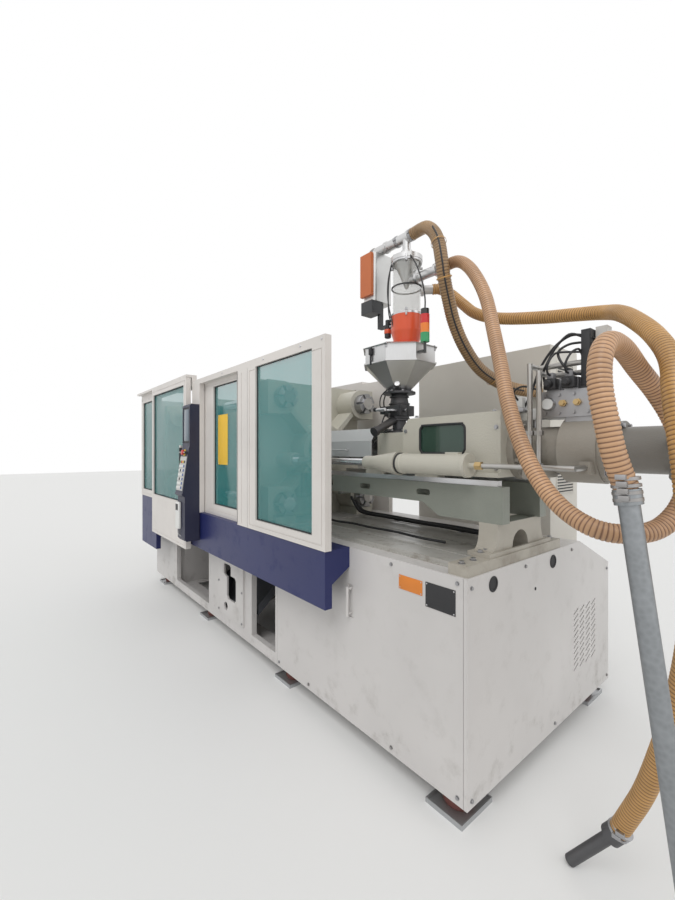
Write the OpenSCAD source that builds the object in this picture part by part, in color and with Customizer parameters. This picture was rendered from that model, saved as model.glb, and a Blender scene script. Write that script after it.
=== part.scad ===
// Injection moulding machine with a horizontal clamp, guards and a hopper loader.
// Machine axes while drawing: x runs along the machine, zero at the bed's
// injection end and negative towards the clamp; y is zero at the bed's front
// face and grows to the rear; z is zero at the floor. placed() then moves the
// whole machine so that the origin is under the middle of its outline.

/* [Bed] */
// Length of the bed
bed_len = 4100; // [4060:10:4400]
// Depth of the bed from front to rear
bed_w = 1500; // [1440:10:1600]
// Height of the bed top over the floor
deck_h = 1000; // [980:5:1030]
// Gap between the floor and the underside of the bed
floor_gap = 100; // [95:1:120]
// Wall of the welded bed
bed_wall = 40; // [30:1:50]
// Thickness of the bed's loose cover panels
panel_t = 16; // [12:1:20]
// Drop of the bed's sloping rear shoulder
shoulder_drop = 185; // [120:5:220]

/* [Centre line] */
// Gap between the bed top and the moving platen
platen_lift = 60; // [50:5:80]
// Distance of the machine's axis behind the bed's front face
axis_y = 460; // [455:1:480]

/* [Clamp] */
// Width of the fixed platen
platen_w = 960; // [900:10:970]
// Height of the moving platen
moving_h = 880; // [840:10:890]
// Thickness of the fixed platen
platen_t = 250; // [220:5:280]
// Thickness of the moving platen
moving_t = 220; // [200:5:240]
// Tie bar spacing, centre to centre
bar_pitch = 720; // [690:5:730]
// Tie bar radius
bar_r = 45; // [38:1:50]
// Distance between the platens at rest
daylight = 750; // [720:5:800]
// Closing travel of the moving platen
close_travel = 430; // [300:10:450]
// Clamp ram radius
ram_r = 150; // [120:5:165]
// Radius of the centring bore in the fixed platen
centring_r = 62.5; // [50:0.5:80]
// Depth of the centring bore
centring_d = 30; // [20:1:40]
// Radius of the mould fixing holes
mould_hole_r = 8.5; // [6:0.5:10]
// Spacing of the outer mould fixing holes
mould_hole_pitch = 420; // [350:10:460]

/* [Guards] */
// Distance of the guard faces in front of the bed
guard_out = 167; // [160:1:190]
// Depth of a guard frame
guard_t = 40; // [30:1:44]
// Height of the guards over the bed
guard_h = 1070; // [1040:5:1120]
// Gap between the platens and the rear guard
guard_gap = 90; // [60:5:100]
// Thickness of the guard panes
pane_t = 8; // [6:0.5:10]
// Travel of the front safety door
door_travel = 640; // [400:10:650]
// Travel of the clamp door
clamp_door_travel = 560; // [300:10:560]
// Travel of the rear door
rear_door_travel = 640; // [400:10:650]

/* [Injection unit] */
// Barrel radius
barrel_r = 62; // [55:1:66]
// Screw radius over its flights
screw_r = 24; // [20:0.5:28]
// Pitch of the screw's flights
screw_pitch = 48; // [40:1:60]
// Injection cylinder radius
inj_r = 100; // [90:1:108]
// Travel of the injection unit away from the platen
carriage_travel = 330; // [200:10:350]
// Injection stroke of the screw
inj_stroke = 160; // [120:5:180]
// Radius of the carriage cylinders
pull_r = 50; // [44:1:54]
// Radius of the carriage rods
pull_rod_r = 20; // [16:1:24]
// Distance of the carriage cylinders from the axis
pull_y = 262; // [256:1:270]

/* [Hopper] */
// Width of the hopper across its flats
hopper_w = 400; // [340:5:440]
// Height of the hopper's straight band
band_h = 92; // [70:1:110]
// Height of the hopper's cone
cone_h = 155; // [130:1:180]
// Sheet thickness of the hopper
hopper_t = 4; // [3:0.5:6]
// Radius of the loader's sight glass
glass_r = 82; // [70:1:90]
// Height of the loader's sight glass
glass_h = 320; // [260:5:360]

/* [Running clearances] */
// Gap round a sliding shaft
run_gap = 0.08; // [0.05:0.01:0.1]
// Gap between parts that slide past each other
slide_gap = 0.5; // [0.3:0.1:0.8]
// Gap at a round seat inside one assembly
seat_gap = 0.25; // [0.2:0.05:0.3]

/* [Hidden] */
$fn = 48;
// Overshoot of a cut past a face
over = 1;

// Heights that follow from the bed
axis_h = deck_h + platen_lift + moving_h / 2;
guard_top = deck_h + guard_h;

// Clamp places along the machine
plat_back = -1500;
plat_face = plat_back - platen_t;
mov_face = plat_face - daylight;
mov_back = mov_face - moving_t;
cyl_end = -bed_len + 80;
end_back = cyl_end + 200;
end_face = end_back + 200;
cyl_mouth = end_face + 200;
bar_off = bar_pitch / 2;
nut_r = 78;
nut_t = 66;
cyl_r = ram_r + 62;
// Height of the platens' feet, which stay under the tie bar nuts
platen_foot = axis_h - bar_off - nut_r - 12 - deck_h;
platen_h = 2 * (axis_h - deck_h);
rail_h = 26;

// Guard places
fix_y = -guard_out;
sill_z = deck_h;
door_y = fix_y + guard_t + 5;
rear_y = axis_y + platen_w / 2 + guard_gap;
shoulder_w = bed_w - rear_y - guard_t;
post_x = -1655;
column_x0 = -2500;
column_x1 = -2335;
guard_x1 = -684;
left_x1 = -bed_len + 620;
beam_h = 40;
beam_z = guard_top - beam_h;
rail_sec = 30;
slide_top = beam_z - 4;

// Injection unit places
feed_x = -770;
neck_x0 = -850;
case_x0 = -580;
case_x1 = -20;
case_hw = 180;
case_top = axis_h + 165;
case_bot = axis_h - 100;
case_wall = 20;
beam_top = axis_h - 160;
beam_hw = 30;
beam_y = 170;
bed_rail_h = 25;
pull_z = axis_h - 68;
pull_x0 = -528;
pull_bore = pull_r - 14;
pull_piston = 25;
pull_x1 = pull_x0 + carriage_travel + 80;
barrel_x0 = -1420;
barrel_x1 = -600;
bore_r = screw_r + run_gap;
ram_bore = inj_r - 20;
inj_x1 = 150 + inj_stroke;
flange_x1 = inj_x1 + 40;
motor_end = 800;
shaft_r = 20;

// Hopper and loader heights
gate_z = axis_h + 232;
cone_z = axis_h + 345;
band_z = cone_z + cone_h;
lid_z = band_z + band_h;
base_z = lid_z + 22;
glass_z = base_z + 170;
head_z = glass_z + glass_h;
loader_x = -712;
pipe_r = 30;
pipe_z = head_z + 150;

// Outline that the origin is centred in
column_y = -310;
mid_x = (motor_end - bed_len) / 2;
mid_y = (column_y + bed_w) / 2;

// Hoses: outer radii, sides, and the points that each hangs through
material_r = 30;
vacuum_r = 36;
hose_sides = 10;
hose_a = [[-662, 460, 2754], [-600, 455, 2754], [-540, 435, 2732], [-475, 410, 2670],
  [-425, 385, 2585], [-402, 378, 2490], [-402, 400, 2400], [-408, 445, 2300], [-412, 500, 2190],
  [-408, 580, 2080], [-393, 690, 1975], [-365, 800, 1912], [-325, 900, 1872], [-280, 970, 1852],
  [-238, 1020, 1845], [-222, 1060, 1843]];
hose_b = [[-440, 460, 2490], [-370, 460, 2490], [-300, 440, 2445], [-220, 405, 2350],
  [-140, 365, 2210], [-70, 310, 2030], [0, 245, 1860], [65, 180, 1700], [145, 120, 1540],
  [235, 75, 1400], [330, 50, 1305], [430, 40, 1255], [510, 90, 1245], [565, 175, 1265],
  [605, 240, 1345], [605, 270, 1460], [580, 250, 1585], [548, 205, 1675], [520, 115, 1748],
  [510, 15, 1795], [505, -85, 1800], [505, -145, 1750], [510, -165, 1670], [525, -165, 1575],
  [540, -155, 1485], [560, -130, 1400]];
hose_c = [[-606, 566, 2440], [-578, 594, 2440], [-530, 632, 2408], [-460, 650, 2335], [-370, 645, 2255],
  [-215, 620, 2185], [-5, 610, 2135], [140, 585, 2105], [290, 525, 2065], [390, 400, 2010],
  [475, 290, 1935], [545, 200, 1855], [600, 115, 1760], [625, 40, 1635], [655, -5, 1445],
  [665, 10, 1235], [655, 60, 1010], [615, 105, 770], [570, 150, 595], [520, 180, 425],
  [465, 205, 285], [440, 214, 225]];

module placed() {
  translate([-mid_x, -mid_y, 0]) children();
}

// A box between two corners
module block(a, b) {
  translate(a) cube(b - a);
}

// A round bar along x
module bar_x(x0, x1, y, z, r) {
  translate([x0, y, z]) rotate([0, 90, 0]) cylinder(h = x1 - x0, r = r);
}

// A round bar along y
module bar_y(y0, y1, x, z, r) {
  translate([x, y1, z]) rotate([90, 0, 0]) cylinder(h = y1 - y0, r = r);
}

// A cone along x
module cone_x(x0, x1, y, z, ra, rb) {
  translate([x0, y, z]) rotate([0, 90, 0]) cylinder(h = x1 - x0, r1 = ra, r2 = rb);
}

// A profile drawn in y and z, drawn out along x
module along_x(x0, x1) {
  translate([x0, 0, 0]) rotate([90, 0, 90]) linear_extrude(x1 - x0) children();
}

// A profile drawn in x and z, drawn out along y
module along_y(y0, y1) {
  translate([0, y1, 0]) rotate([90, 0, 0]) linear_extrude(y1 - y0) children();
}

// A rectangle with round corners, from its low corner
module round_rect(a, b, r) {
  translate([a[0] + r, a[1]]) square([b[0] - a[0] - 2 * r, b[1] - a[1]]);
  translate([a[0], a[1] + r]) square([b[0] - a[0], b[1] - a[1] - 2 * r]);
  for (x = [a[0] + r, b[0] - r])
    for (y = [a[1] + r, b[1] - r])
      translate([x, y]) circle(r);
}

// A framed opening in a flat guard: outer size, then its four border widths
module guard_leaf(x0, x1, y, t, z0, z1, left, right, foot, head) {
  difference() {
    block([x0, y, z0], [x1, y + t, z1]);
    block([x0 + left, y - over, z0 + foot], [x1 - right, y + t + over, z1 - head]);
    // Rebate that holds the pane from the machine's side
    block([x0 + left - 8, y + t / 2 - pane_t / 2, z0 + foot - 8],
      [x1 - right + 8, y + t + over, z1 - head + 8]);
    // Groove pressed round the front of the frame
    difference() {
      block([x0 + 24, y - over, z0 + 24], [x1 - 24, y + 3, z1 - 24]);
      block([x0 + 30, y - 2 * over, z0 + 30], [x1 - 30, y + 4, z1 - 30]);
    }
  }
}

// The pane of that opening, seated in the rebate
module leaf_pane(x0, x1, y, t, z0, z1, left, right, foot, head) {
  block([x0 + left - 8 + seat_gap, y + t / 2 - pane_t / 2, z0 + foot - 8 + seat_gap],
    [x1 - right + 8 - seat_gap, y + t / 2 + pane_t / 2, z1 - head + 8 - seat_gap]);
}

// Side view of the bed, front edge at y0
module bed_profile(y0, inset, z0) {
  polygon([[y0, z0], [bed_w - inset, z0], [bed_w - inset, deck_h - shoulder_drop - inset],
    [bed_w - shoulder_w - inset / 4, deck_h - inset], [y0, deck_h - inset]]);
}

// Bays of the bed, from the clamp end to the injection end
bay_x = -bed_len + 660;
bays = [[-bed_len + bed_wall, bay_x - bed_wall], [bay_x, -2520 - bed_wall],
  [-2520, -1400 - bed_wall], [-1400, -panel_t - bed_wall]];
bay_foot = 70;
rim_w = 160;
open_bay = [bay_x + 40, -2560];
mouth_bay = [-1770, -1440];
cover_bay = [-2330, -1880];
open_top = deck_h - 360;
drop_y = [210, 710];

module bed_frame() {
  color("gainsboro") difference() {
    along_x(-bed_len, -panel_t) bed_profile(0, 0, floor_gap);
    // Bays, open below between a rim that the mounts bolt to
    for (b = bays) {
      along_x(b[0], b[1]) bed_profile(bed_wall, bed_wall, floor_gap + 12);
      block([b[0] + bay_foot, bed_wall + rim_w, floor_gap - over],
        [b[1] - bay_foot, bed_w - bed_wall - rim_w, floor_gap + 20]);
    }
    // Holes for the levelling screws
    at_mounts() translate([0, 0, floor_gap - over]) cylinder(h = 12 + 2 * over, r = stud_r + seat_gap);
    // Recess that the front cover panel fills
    block([-1416, -over, floor_gap - over], [0, panel_t, deck_h + over]);
    // Openings in the front wall
    block([open_bay[0], -over, floor_gap + bay_foot], [open_bay[1], bed_wall + over, open_top]);
    block([mouth_bay[0], -over, floor_gap + bay_foot], [mouth_bay[1], bed_wall + over, open_top + 40]);
    block([cover_bay[0] + 30, -over, floor_gap + 130], [cover_bay[1] - 30, bed_wall + over, open_top + 10]);
    // Drop hole for the moulded parts
    block([mov_face + 20, drop_y[0], deck_h - bed_wall - over], [plat_face - 40, drop_y[1], deck_h + over]);
  }
}

panel_gap = 2;
handle_x = -687;
handle_z = deck_h - 350;

module front_panels() {
  service_panel();
  color("whitesmoke") difference() {
    block([-1416 + panel_gap, 0, floor_gap], [-panel_t - panel_gap, panel_t, deck_h]);
    // Pocket behind the pull handle
    block([handle_x - 22, -over, handle_z - 10], [handle_x + 22, 8, handle_z + 160]);
  }
  // Upright bar of the pull handle, on its two feet
  color("dimgray") {
    translate([handle_x, -22, handle_z]) cylinder(h = 150, r = 8);
    for (z = [handle_z + 12, handle_z + 138])
      bar_y(-22, 10, handle_x, z, 6);
  }
}

// Louvre field of the end cover
louvre_y = [980, 1300];
louvre_z = [310, 640];
louvre_rows = 11;

module end_panel() {
  rows = louvre_rows;
  step_z = (louvre_z[1] - louvre_z[0]) / rows;
  step_y = (louvre_y[1] - louvre_y[0]) / 4;
  color("whitesmoke") difference() {
    along_x(-panel_t, 0) bed_profile(0, 0, floor_gap);
    for (i = [0:rows - 1])
      for (k = [0:3])
        translate([-panel_t / 2, louvre_y[0] + (k + 0.5) * step_y, louvre_z[0] + (i + 0.5) * step_z])
          rotate([22, 0, 0]) cube([panel_t + 2, step_y - 16, 9], center = true);
    // Lifting holes
    for (y = [187, 740])
      bar_x(-panel_t - over, over, y, deck_h - 55, 25);
    bar_x(-panel_t - over, over, 555, deck_h - 152, 6);
  }
}

module service_panel() {
  x0 = cover_bay[0];
  x1 = cover_bay[1];
  color("gainsboro") difference() {
    block([x0, -14, floor_gap + 90], [x1, 0, open_top + 50]);
    // Access cutouts with bevelled corners
    along_y(-14 - over, over) {
      translate([x0, open_top]) polygon([[125, -40], [110, -55], [110, -125], [170, -140], [170, -290],
        [190, -310], [310, -310], [330, -290], [330, -140], [310, -120], [240, -120], [240, -55],
        [225, -40]]);
    }
    bar_y(-14 - over, over, x0 + 150, open_top - 378, 34);
  }
}

// Sheet that the parts slide down, folded up at its two sides
module part_chute() {
  top = [drop_y[1] + 40, deck_h - 90];
  lip = [bed_wall + 20, deck_h - 700];
  x0 = mov_face + 10;
  x1 = plat_face - 30;
  color("dimgray") {
    along_x(x0, x1)
      polygon([lip, lip + [0, -6], top + [6, -6], top + [6, 50], top + [0, 50], top]);
    for (x = [x0, x1 - 4])
      along_x(x, x + 4) polygon([lip, lip + [0, 70], top + [0, 40], top]);
    // Hanger that carries it from the front wall
    block([x0 + 60, bed_wall, lip[1] - 6], [x1 - 60, lip[0], lip[1]]);
  }
}

tray_x = [-1340, -100];
tray_y = [96, 826];

module drip_tray() {
  color("silver") difference() {
    union() {
      block([tray_x[0], tray_y[0], deck_h], [tray_x[1], tray_y[1], deck_h + 22]);
      // Folded rim
      block([tray_x[0] - 16, tray_y[0] - 16, deck_h], [tray_x[1] + 4, tray_y[1] + 16, deck_h + 4]);
    }
    block([tray_x[0] + 4, tray_y[0] + 4, deck_h + 6], [tray_x[1] - 4, tray_y[1] - 4, deck_h + 23]);
    // Pressed drain valleys
    for (y = [240, 460, 680])
      block([tray_x[0] + 60, y, deck_h + 3], [tray_x[1] - 60, y + 60, deck_h + 7]);
  }
}

// Places of the levelling mounts
mount_x = [-bed_len + 160, -2700, -1370, -120];
mount_y = [120, bed_w - 120];
plate_t = 12;
pad_r = 62;
stud_r = 12;

module at_mounts() {
  for (x = mount_x)
    for (y = mount_y)
      translate([x, y, 0]) children();
}

module mount_steel() {
  color("gray") at_mounts() {
    // Floor tray with an upturned edge
    difference() {
      translate([-90, -110, 0]) cube([180, 220, plate_t + 10]);
      translate([-84, -104, plate_t]) cube([168, 208, 30]);
    }
    // Levelling screw with its collar, and a nut on either side of the rim
    translate([0, 0, plate_t + 54]) cylinder(h = floor_gap + 44 - plate_t - 54, r = stud_r);
    translate([0, 0, floor_gap + 12]) cylinder(h = 16, r = 22, $fn = 6);
    translate([0, 0, plate_t + 54]) cylinder(h = 10, r = 44);
    translate([0, 0, floor_gap - 16]) cylinder(h = 16, r = 22, $fn = 6);
  }
}

module mount_pads() {
  color("sienna") at_mounts() rotate_extrude()
    polygon([[0, plate_t], [pad_r, plate_t], [pad_r + 6, plate_t + 12], [pad_r + 6, plate_t + 34],
      [pad_r - 6, plate_t + 54], [0, plate_t + 54]]);
}

skirt_x = [-bed_len + 560, -694];
skirt_y = -160;
skirt_t = 6;

// Cross section of the skirt's end plates
module skirt_section(z0) {
  polygon([[skirt_y, z0], [skirt_y + 45, z0], [skirt_y + 45, z0 + 118], [0, z0 + 189], [0, deck_h],
    [skirt_y, deck_h]]);
}

module skirt(x0, x1, z0) {
  block([x0, skirt_y, z0], [x1, skirt_y + skirt_t, deck_h]);
  block([x0, skirt_y, z0], [x1, skirt_y + 45, z0 + skirt_t]);
  block([x0, skirt_y, deck_h - skirt_t], [x1, 0, deck_h]);
  for (x = [x0, x1 - skirt_t])
    along_x(x, x + skirt_t) skirt_section(z0);
}

module front_skirts() {
  color("midnightblue") skirt(skirt_x[0], skirt_x[1], deck_h - 290);
  color("darkslateblue") skirt(-bed_len + skirt_t, skirt_x[0] - 12, deck_h - 520);
}

// Four tie bars, drawn as bars or bores of the same places
module at_bars(x0, x1, r) {
  for (dy = [-bar_off, bar_off])
    for (dz = [-bar_off, bar_off])
      bar_x(x0, x1, axis_y + dy, axis_h + dz, r);
}

// Mould fixing holes round the axis
module mould_holes(x0, x1) {
  for (dy = [-1, 1])
    for (dz = [-1, 1])
      bar_x(x0, x1, axis_y + dy * mould_hole_pitch / 2, axis_h + dz * mould_hole_pitch / 2, mould_hole_r);
}

skin = 70;
rib = 34;

module fixed_platen() {
  y0 = axis_y - platen_w / 2;
  y1 = axis_y + platen_w / 2;
  z1 = axis_h + platen_h / 2;
  boss = 112;
  color("beige") difference() {
    union() {
      block([plat_face, y0, deck_h], [plat_face + skin, y1, z1]);
      // Corner bosses round the tie bars
      for (dy = [-bar_off, bar_off])
        for (dz = [-bar_off, bar_off]) {
          bar_x(plat_face, plat_back, axis_y + dy, axis_h + dz, boss);
          sy = sign(dy);
          block([plat_face, min(axis_y + dy, axis_y + sy * platen_w / 2), axis_h + dz - boss],
            [plat_back, max(axis_y + dy, axis_y + sy * platen_w / 2), axis_h + dz + boss]);
        }
      // Round nose that takes the nozzle's thrust, on cross ribs
      bar_x(plat_face, plat_back, axis_y, axis_h, 190);
      for (a = [45, 135])
        translate([plat_face, axis_y, axis_h]) rotate([a, 0, 0])
          translate([0, -bar_off * 1.3, -rib / 2]) cube([platen_t - 20, bar_off * 2.6, rib]);
      // Seats of the injection base and of the carriage rods
      for (s = [-1, 1]) {
        block([plat_face + skin, axis_y + s * beam_y - beam_hw - 20, beam_top - 170],
          [plat_back, axis_y + s * beam_y + beam_hw + 20, beam_top]);
        bar_x(plat_face + skin, plat_back, axis_y + s * pull_y, pull_z, 50);
      }
      // Feet bolted to the bed
      block([plat_face - 30, y0 + 40, deck_h], [plat_back + 30, y0 + 200, deck_h + platen_foot]);
      block([plat_face - 30, y1 - 200, deck_h], [plat_back + 30, y1 - 40, deck_h + platen_foot]);
    }
    at_bars(plat_face - over, plat_back + over, bar_r + seat_gap);
    bar_x(plat_face - over, plat_face + centring_d, axis_y, axis_h, centring_r);
    bar_x(plat_face, plat_back + over, axis_y, axis_h, 40);
    cone_x(plat_back - 150, plat_back + over, axis_y, axis_h, 40, 150);
    mould_holes(plat_face - over, plat_face + 45);
  }
}

module end_platen() {
  y0 = axis_y - platen_w / 2 + 20;
  y1 = axis_y + platen_w / 2 - 20;
  z1 = axis_h + platen_h / 2 - 20;
  color("beige") difference() {
    union() {
      block([end_back, y0, deck_h], [end_back + 90, y1, z1]);
      for (dy = [-bar_off, bar_off])
        for (dz = [-bar_off, bar_off])
          bar_x(end_back, end_face, axis_y + dy, axis_h + dz, 105);
      bar_x(end_back, end_face, axis_y, axis_h, cyl_r + 50);
      for (a = [45, 135])
        translate([end_back, axis_y, axis_h]) rotate([a, 0, 0])
          translate([0, -bar_off * 1.3, -rib / 2]) cube([180, bar_off * 2.6, rib]);
      block([end_back - 20, y0 + 40, deck_h], [end_face + 20, y0 + 180, deck_h + platen_foot]);
      block([end_back - 20, y1 - 180, deck_h], [end_face + 20, y1 - 40, deck_h + platen_foot]);
    }
    at_bars(end_back - over, end_face + over, bar_r + seat_gap);
    bar_x(end_back - over, end_face + over, axis_y, axis_h, cyl_r + seat_gap);
  }
}

module tie_bars() {
  color("silver") at_bars(end_back - nut_t - 14, plat_back + nut_t + 14, bar_r);
}

module tie_bar_nuts() {
  color("dimgray") difference() {
    union() {
      at_bars(end_back - nut_t, end_back, nut_r);
      at_bars(plat_back, plat_back + nut_t, nut_r);
    }
    at_bars(end_back - nut_t - over, plat_back + nut_t + over, bar_r + seat_gap);
    // Spanner slots
    for (dy = [-bar_off, bar_off])
      for (dz = [-bar_off, bar_off])
        for (a = [0:60:150])
          translate([0, axis_y + dy, axis_h + dz]) rotate([a, 0, 0]) {
            translate([plat_back + 20, -nut_r - over, -8]) cube([nut_t, 2 * nut_r + 2, 16]);
            translate([end_back - nut_t - 20, -nut_r - over, -8]) cube([nut_t, 2 * nut_r + 2, 16]);
          }
  }
}

module clamp_cylinder() {
  color("slategray") difference() {
    union() {
      bar_x(cyl_end, cyl_mouth, axis_y, axis_h, cyl_r);
      bar_x(end_face, end_face + 40, axis_y, axis_h, cyl_r + 48);
      bar_x(cyl_mouth - 50, cyl_mouth, axis_y, axis_h, cyl_r + 14);
    }
    bar_x(cyl_end + 40, cyl_mouth + over, axis_y, axis_h, ram_r + run_gap);
  }
}

module clamp_ram() {
  color("silver") bar_x(cyl_end + 60, mov_back, axis_y, axis_h, ram_r);
}

way_y = bar_off - 60;

module slide_rails() {
  color("silver") {
    // Ways under the moving platen
    for (s = [-1, 1])
      block([end_face + 30, axis_y + s * way_y - 45, deck_h],
        [mov_face + close_travel - 100, axis_y + s * way_y + 45, deck_h + rail_h]);
    // Rails of the injection base
    for (s = [-1, 1])
      block([plat_back + 60, axis_y + s * beam_y - 18, beam_top],
        [-30, axis_y + s * beam_y + 18, beam_top + bed_rail_h]);
  }
}

module moving_platen() {
  half = moving_h / 2;
  y0 = axis_y - platen_w / 2 + 10;
  y1 = axis_y + platen_w / 2 - 10;
  color("beige") difference() {
    union() {
      block([mov_face - skin, y0, axis_h - half], [mov_face, y1, axis_h + half]);
      for (dy = [-bar_off, bar_off])
        for (dz = [-bar_off, bar_off])
          bar_x(mov_back, mov_face, axis_y + dy, axis_h + dz, 78);
      bar_x(mov_back, mov_face - skin - 1, axis_y, axis_h, ram_r + 46);
      for (a = [45, 135])
        translate([mov_back + 20, axis_y, axis_h]) rotate([a, 0, 0])
          translate([0, -bar_off * 1.3, -rib / 2]) cube([moving_t - 40, bar_off * 2.6, rib]);
      // Shoes that run on the bed's ways
      for (s = [-1, 1])
        block([mov_back, axis_y + s * way_y - 55, deck_h + rail_h + slide_gap],
          [mov_face, axis_y + s * way_y + 55, axis_h - half + 30]);
    }
    at_bars(mov_back - over, mov_face + over, bar_r + run_gap);
    // Hollow core that the ejector works in
    bar_x(core_x, ej_x + ej_plate_t + ej_travel + 4.7, axis_y, axis_h, ram_r + 6);
    for (dy = [-90, 90])
      bar_x(mov_face - skin - over, mov_face + over, axis_y + dy, axis_h, 14);
    bar_x(mov_face - skin - over, mov_face + over, axis_y, axis_h, 24);
    mould_holes(mov_face - 45, mov_face + over);
  }
}

// Ejector places inside the moving platen's core
core_x = mov_back + 30;
ej_head_t = 14;
ej_plate_t = 16;
ej_x = core_x + ej_head_t + 0.3;
ej_travel = 85;

module ejector_cylinder() {
  color("slategray") difference() {
    bar_x(core_x, core_x + ej_head_t, axis_y, axis_h, 62);
    bar_x(core_x + 4, core_x + ej_head_t + over, axis_y, axis_h, 30 + run_gap);
  }
}

module ejector_plate() {
  color("silver") {
    bar_x(ej_x - 8, ej_x, axis_y, axis_h, 30);
    bar_x(ej_x, ej_x + ej_plate_t, axis_y, axis_h, 130);
    for (dy = [-90, 90])
      bar_x(ej_x + ej_plate_t, mov_face - 6, axis_y + dy, axis_h, 14 - 0.1);
    bar_x(ej_x + ej_plate_t, mov_face - 6, axis_y, axis_h, 24 - 0.1);
  }
}

// Wide fixed guard at the injection side: outer x, then its borders
wide_x = [-1506, guard_x1];
wide_border = [106, 111, 64, 10];
left_x = [-bed_len + 6, left_x1];
left_border = [60, 140, 70, 10];
door_x = [-2350, -1640];
door_border = [185, 115, 70, 40];

clamp_door_x = [-bed_len + 600, -2510];
clamp_door_y = -215;
clamp_door_z = [deck_h - 320, guard_top + 34 - 0.3];
clamp_border = [46, 60, 380, 60];
clamp_rail_x = clamp_door_x[0] - clamp_door_travel - 34;
front_rail_x = door_x[0] - door_travel - 10;

module guard_frame() {
  // Wide leaf
  color("whitesmoke") guard_leaf(wide_x[0], wide_x[1], fix_y, guard_t, sill_z, beam_z,
    wide_border[0], wide_border[1], wide_border[2], wide_border[3]);
  // Leaf at the clamp end
  color("whitesmoke") guard_leaf(left_x[0], left_x[1], fix_y, guard_t, sill_z, beam_z,
    left_border[0], left_border[1], left_border[2], left_border[3]);
  color("whitesmoke") difference() {
    union() {
      // Post between the door opening and the wide leaf, and the post of the control column
      block([post_x, fix_y, sill_z], [wide_x[0] - 4, fix_y + guard_t, beam_z]);
      block([column_x0, fix_y, sill_z], [column_x1, fix_y + guard_t, beam_z]);
      // Head beam along the whole front, with the clamp door's rail over it
      block([left_x[0], fix_y, beam_z], [guard_x1, fix_y + guard_t, guard_top]);
      block([clamp_rail_x, fix_y, guard_top], [column_x0 - 5, fix_y + guard_t, guard_top + 54]);
      block([clamp_rail_x, clamp_door_y, guard_top + 34], [column_x0 - 5, fix_y, guard_top + 54]);
      // Rails of the front door, behind the head beam and on the skirt
      block([front_rail_x, fix_y + guard_t, slide_top - rail_sec + 34],
        [post_x + 145, door_y + guard_t, slide_top + 34]);
      block([front_rail_x, door_y, sill_z], [post_x + 145, door_y + guard_t, sill_z + 10]);
    }
    // Shadow line down the post
    block([post_x + 60, fix_y - over, sill_z + 20], [post_x + 66, fix_y + 3, beam_z - 20]);
  }
}

module guard_panes() {
  color("mediumturquoise", 0.5) {
    leaf_pane(wide_x[0], wide_x[1], fix_y, guard_t, sill_z, beam_z,
      wide_border[0], wide_border[1], wide_border[2], wide_border[3]);
    leaf_pane(left_x[0], left_x[1], fix_y, guard_t, sill_z, beam_z,
      left_border[0], left_border[1], left_border[2], left_border[3]);
  }
}

// Clear height of the sliding front door between its rails
door_z0 = sill_z + 10.3;
door_z1 = slide_top - rail_sec + 34 - 0.3;

module door_handle(x, y, z, h) {
  bar = 9;
  translate([x, y - 34, z]) cylinder(h = h, r = bar);
  for (dz = [18, h - 18])
    bar_y(y - 34, y, x, z + dz, bar - 2);
}

module front_door_frame() {
  color("whitesmoke") difference() {
    guard_leaf(door_x[0], door_x[1], door_y, guard_t, door_z0, door_z1,
      door_border[0], door_border[1], door_border[2], door_border[3]);
    // Recessed pull in the stile
    block([door_x[1] - 88, door_y - over, deck_h + 360], [door_x[1] - 62, door_y + 16, deck_h + 500]);
  }
}

module front_door_pane() {
  color("mediumturquoise", 0.5) leaf_pane(door_x[0], door_x[1], door_y, guard_t, door_z0, door_z1,
    door_border[0], door_border[1], door_border[2], door_border[3]);
}

module clamp_door_frame() {
  x0 = clamp_door_x[0];
  x1 = clamp_door_x[1];
  color("lightgray") guard_leaf(x0, x1, clamp_door_y, guard_t, clamp_door_z[0], clamp_door_z[1],
    clamp_border[0], clamp_border[1], clamp_border[2], clamp_border[3]);
  color("dimgray") door_handle(x1 - 30, clamp_door_y, deck_h + 120, 420);
}

module clamp_door_pane() {
  color("mediumturquoise", 0.5) leaf_pane(clamp_door_x[0], clamp_door_x[1], clamp_door_y, guard_t,
    clamp_door_z[0], clamp_door_z[1], clamp_border[0], clamp_border[1], clamp_border[2], clamp_border[3]);
}

rear_door_x = [mov_face + 20, plat_face - 10];
rear_open = [mov_face + 60, plat_face - 50];
// Three pressed fields of the rear sheet, from the clamp end to the rear door
field_gap = 80;
field_pitch = (rear_open[0] - 180 + field_gap + bed_len - 60) / 3;
rear_door_y = rear_y + guard_t + 4;

module rear_guard() {
  y1 = rear_y + guard_t;
  color("whitesmoke") difference() {
    union() {
      block([left_x[0], rear_y, sill_z], [plat_back + 100, y1, guard_top]);
      // Guard across the clamp end
      block([-bed_len, fix_y, sill_z], [-bed_len + 6, y1, guard_top]);
      // Rail that the rear door hangs from
      block([rear_door_x[0] - rear_door_travel - 80, rear_y, guard_top],
        [rear_door_x[1] + 40, rear_door_y + guard_t, guard_top + 20]);
    }
    block([rear_open[0], rear_y - over, sill_z + 60], [rear_open[1], y1 + over, beam_z]);
    // Pressed fields that stiffen the sheets
    for (i = [0:2])
      block([-bed_len + 60 + i * field_pitch, y1 - 4, sill_z + 120],
        [-bed_len + 60 + (i + 1) * field_pitch - field_gap, y1 + over, beam_z - 60]);
    block([plat_back - 190, y1 - 4, sill_z + 120], [plat_back + 40, y1 + over, beam_z - 60]);
    for (i = [0:1])
      block([-bed_len - over, 0 + i * 500, sill_z + 120], [-bed_len + 3, 420 + i * 500, beam_z - 60]);
  }
}

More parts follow.
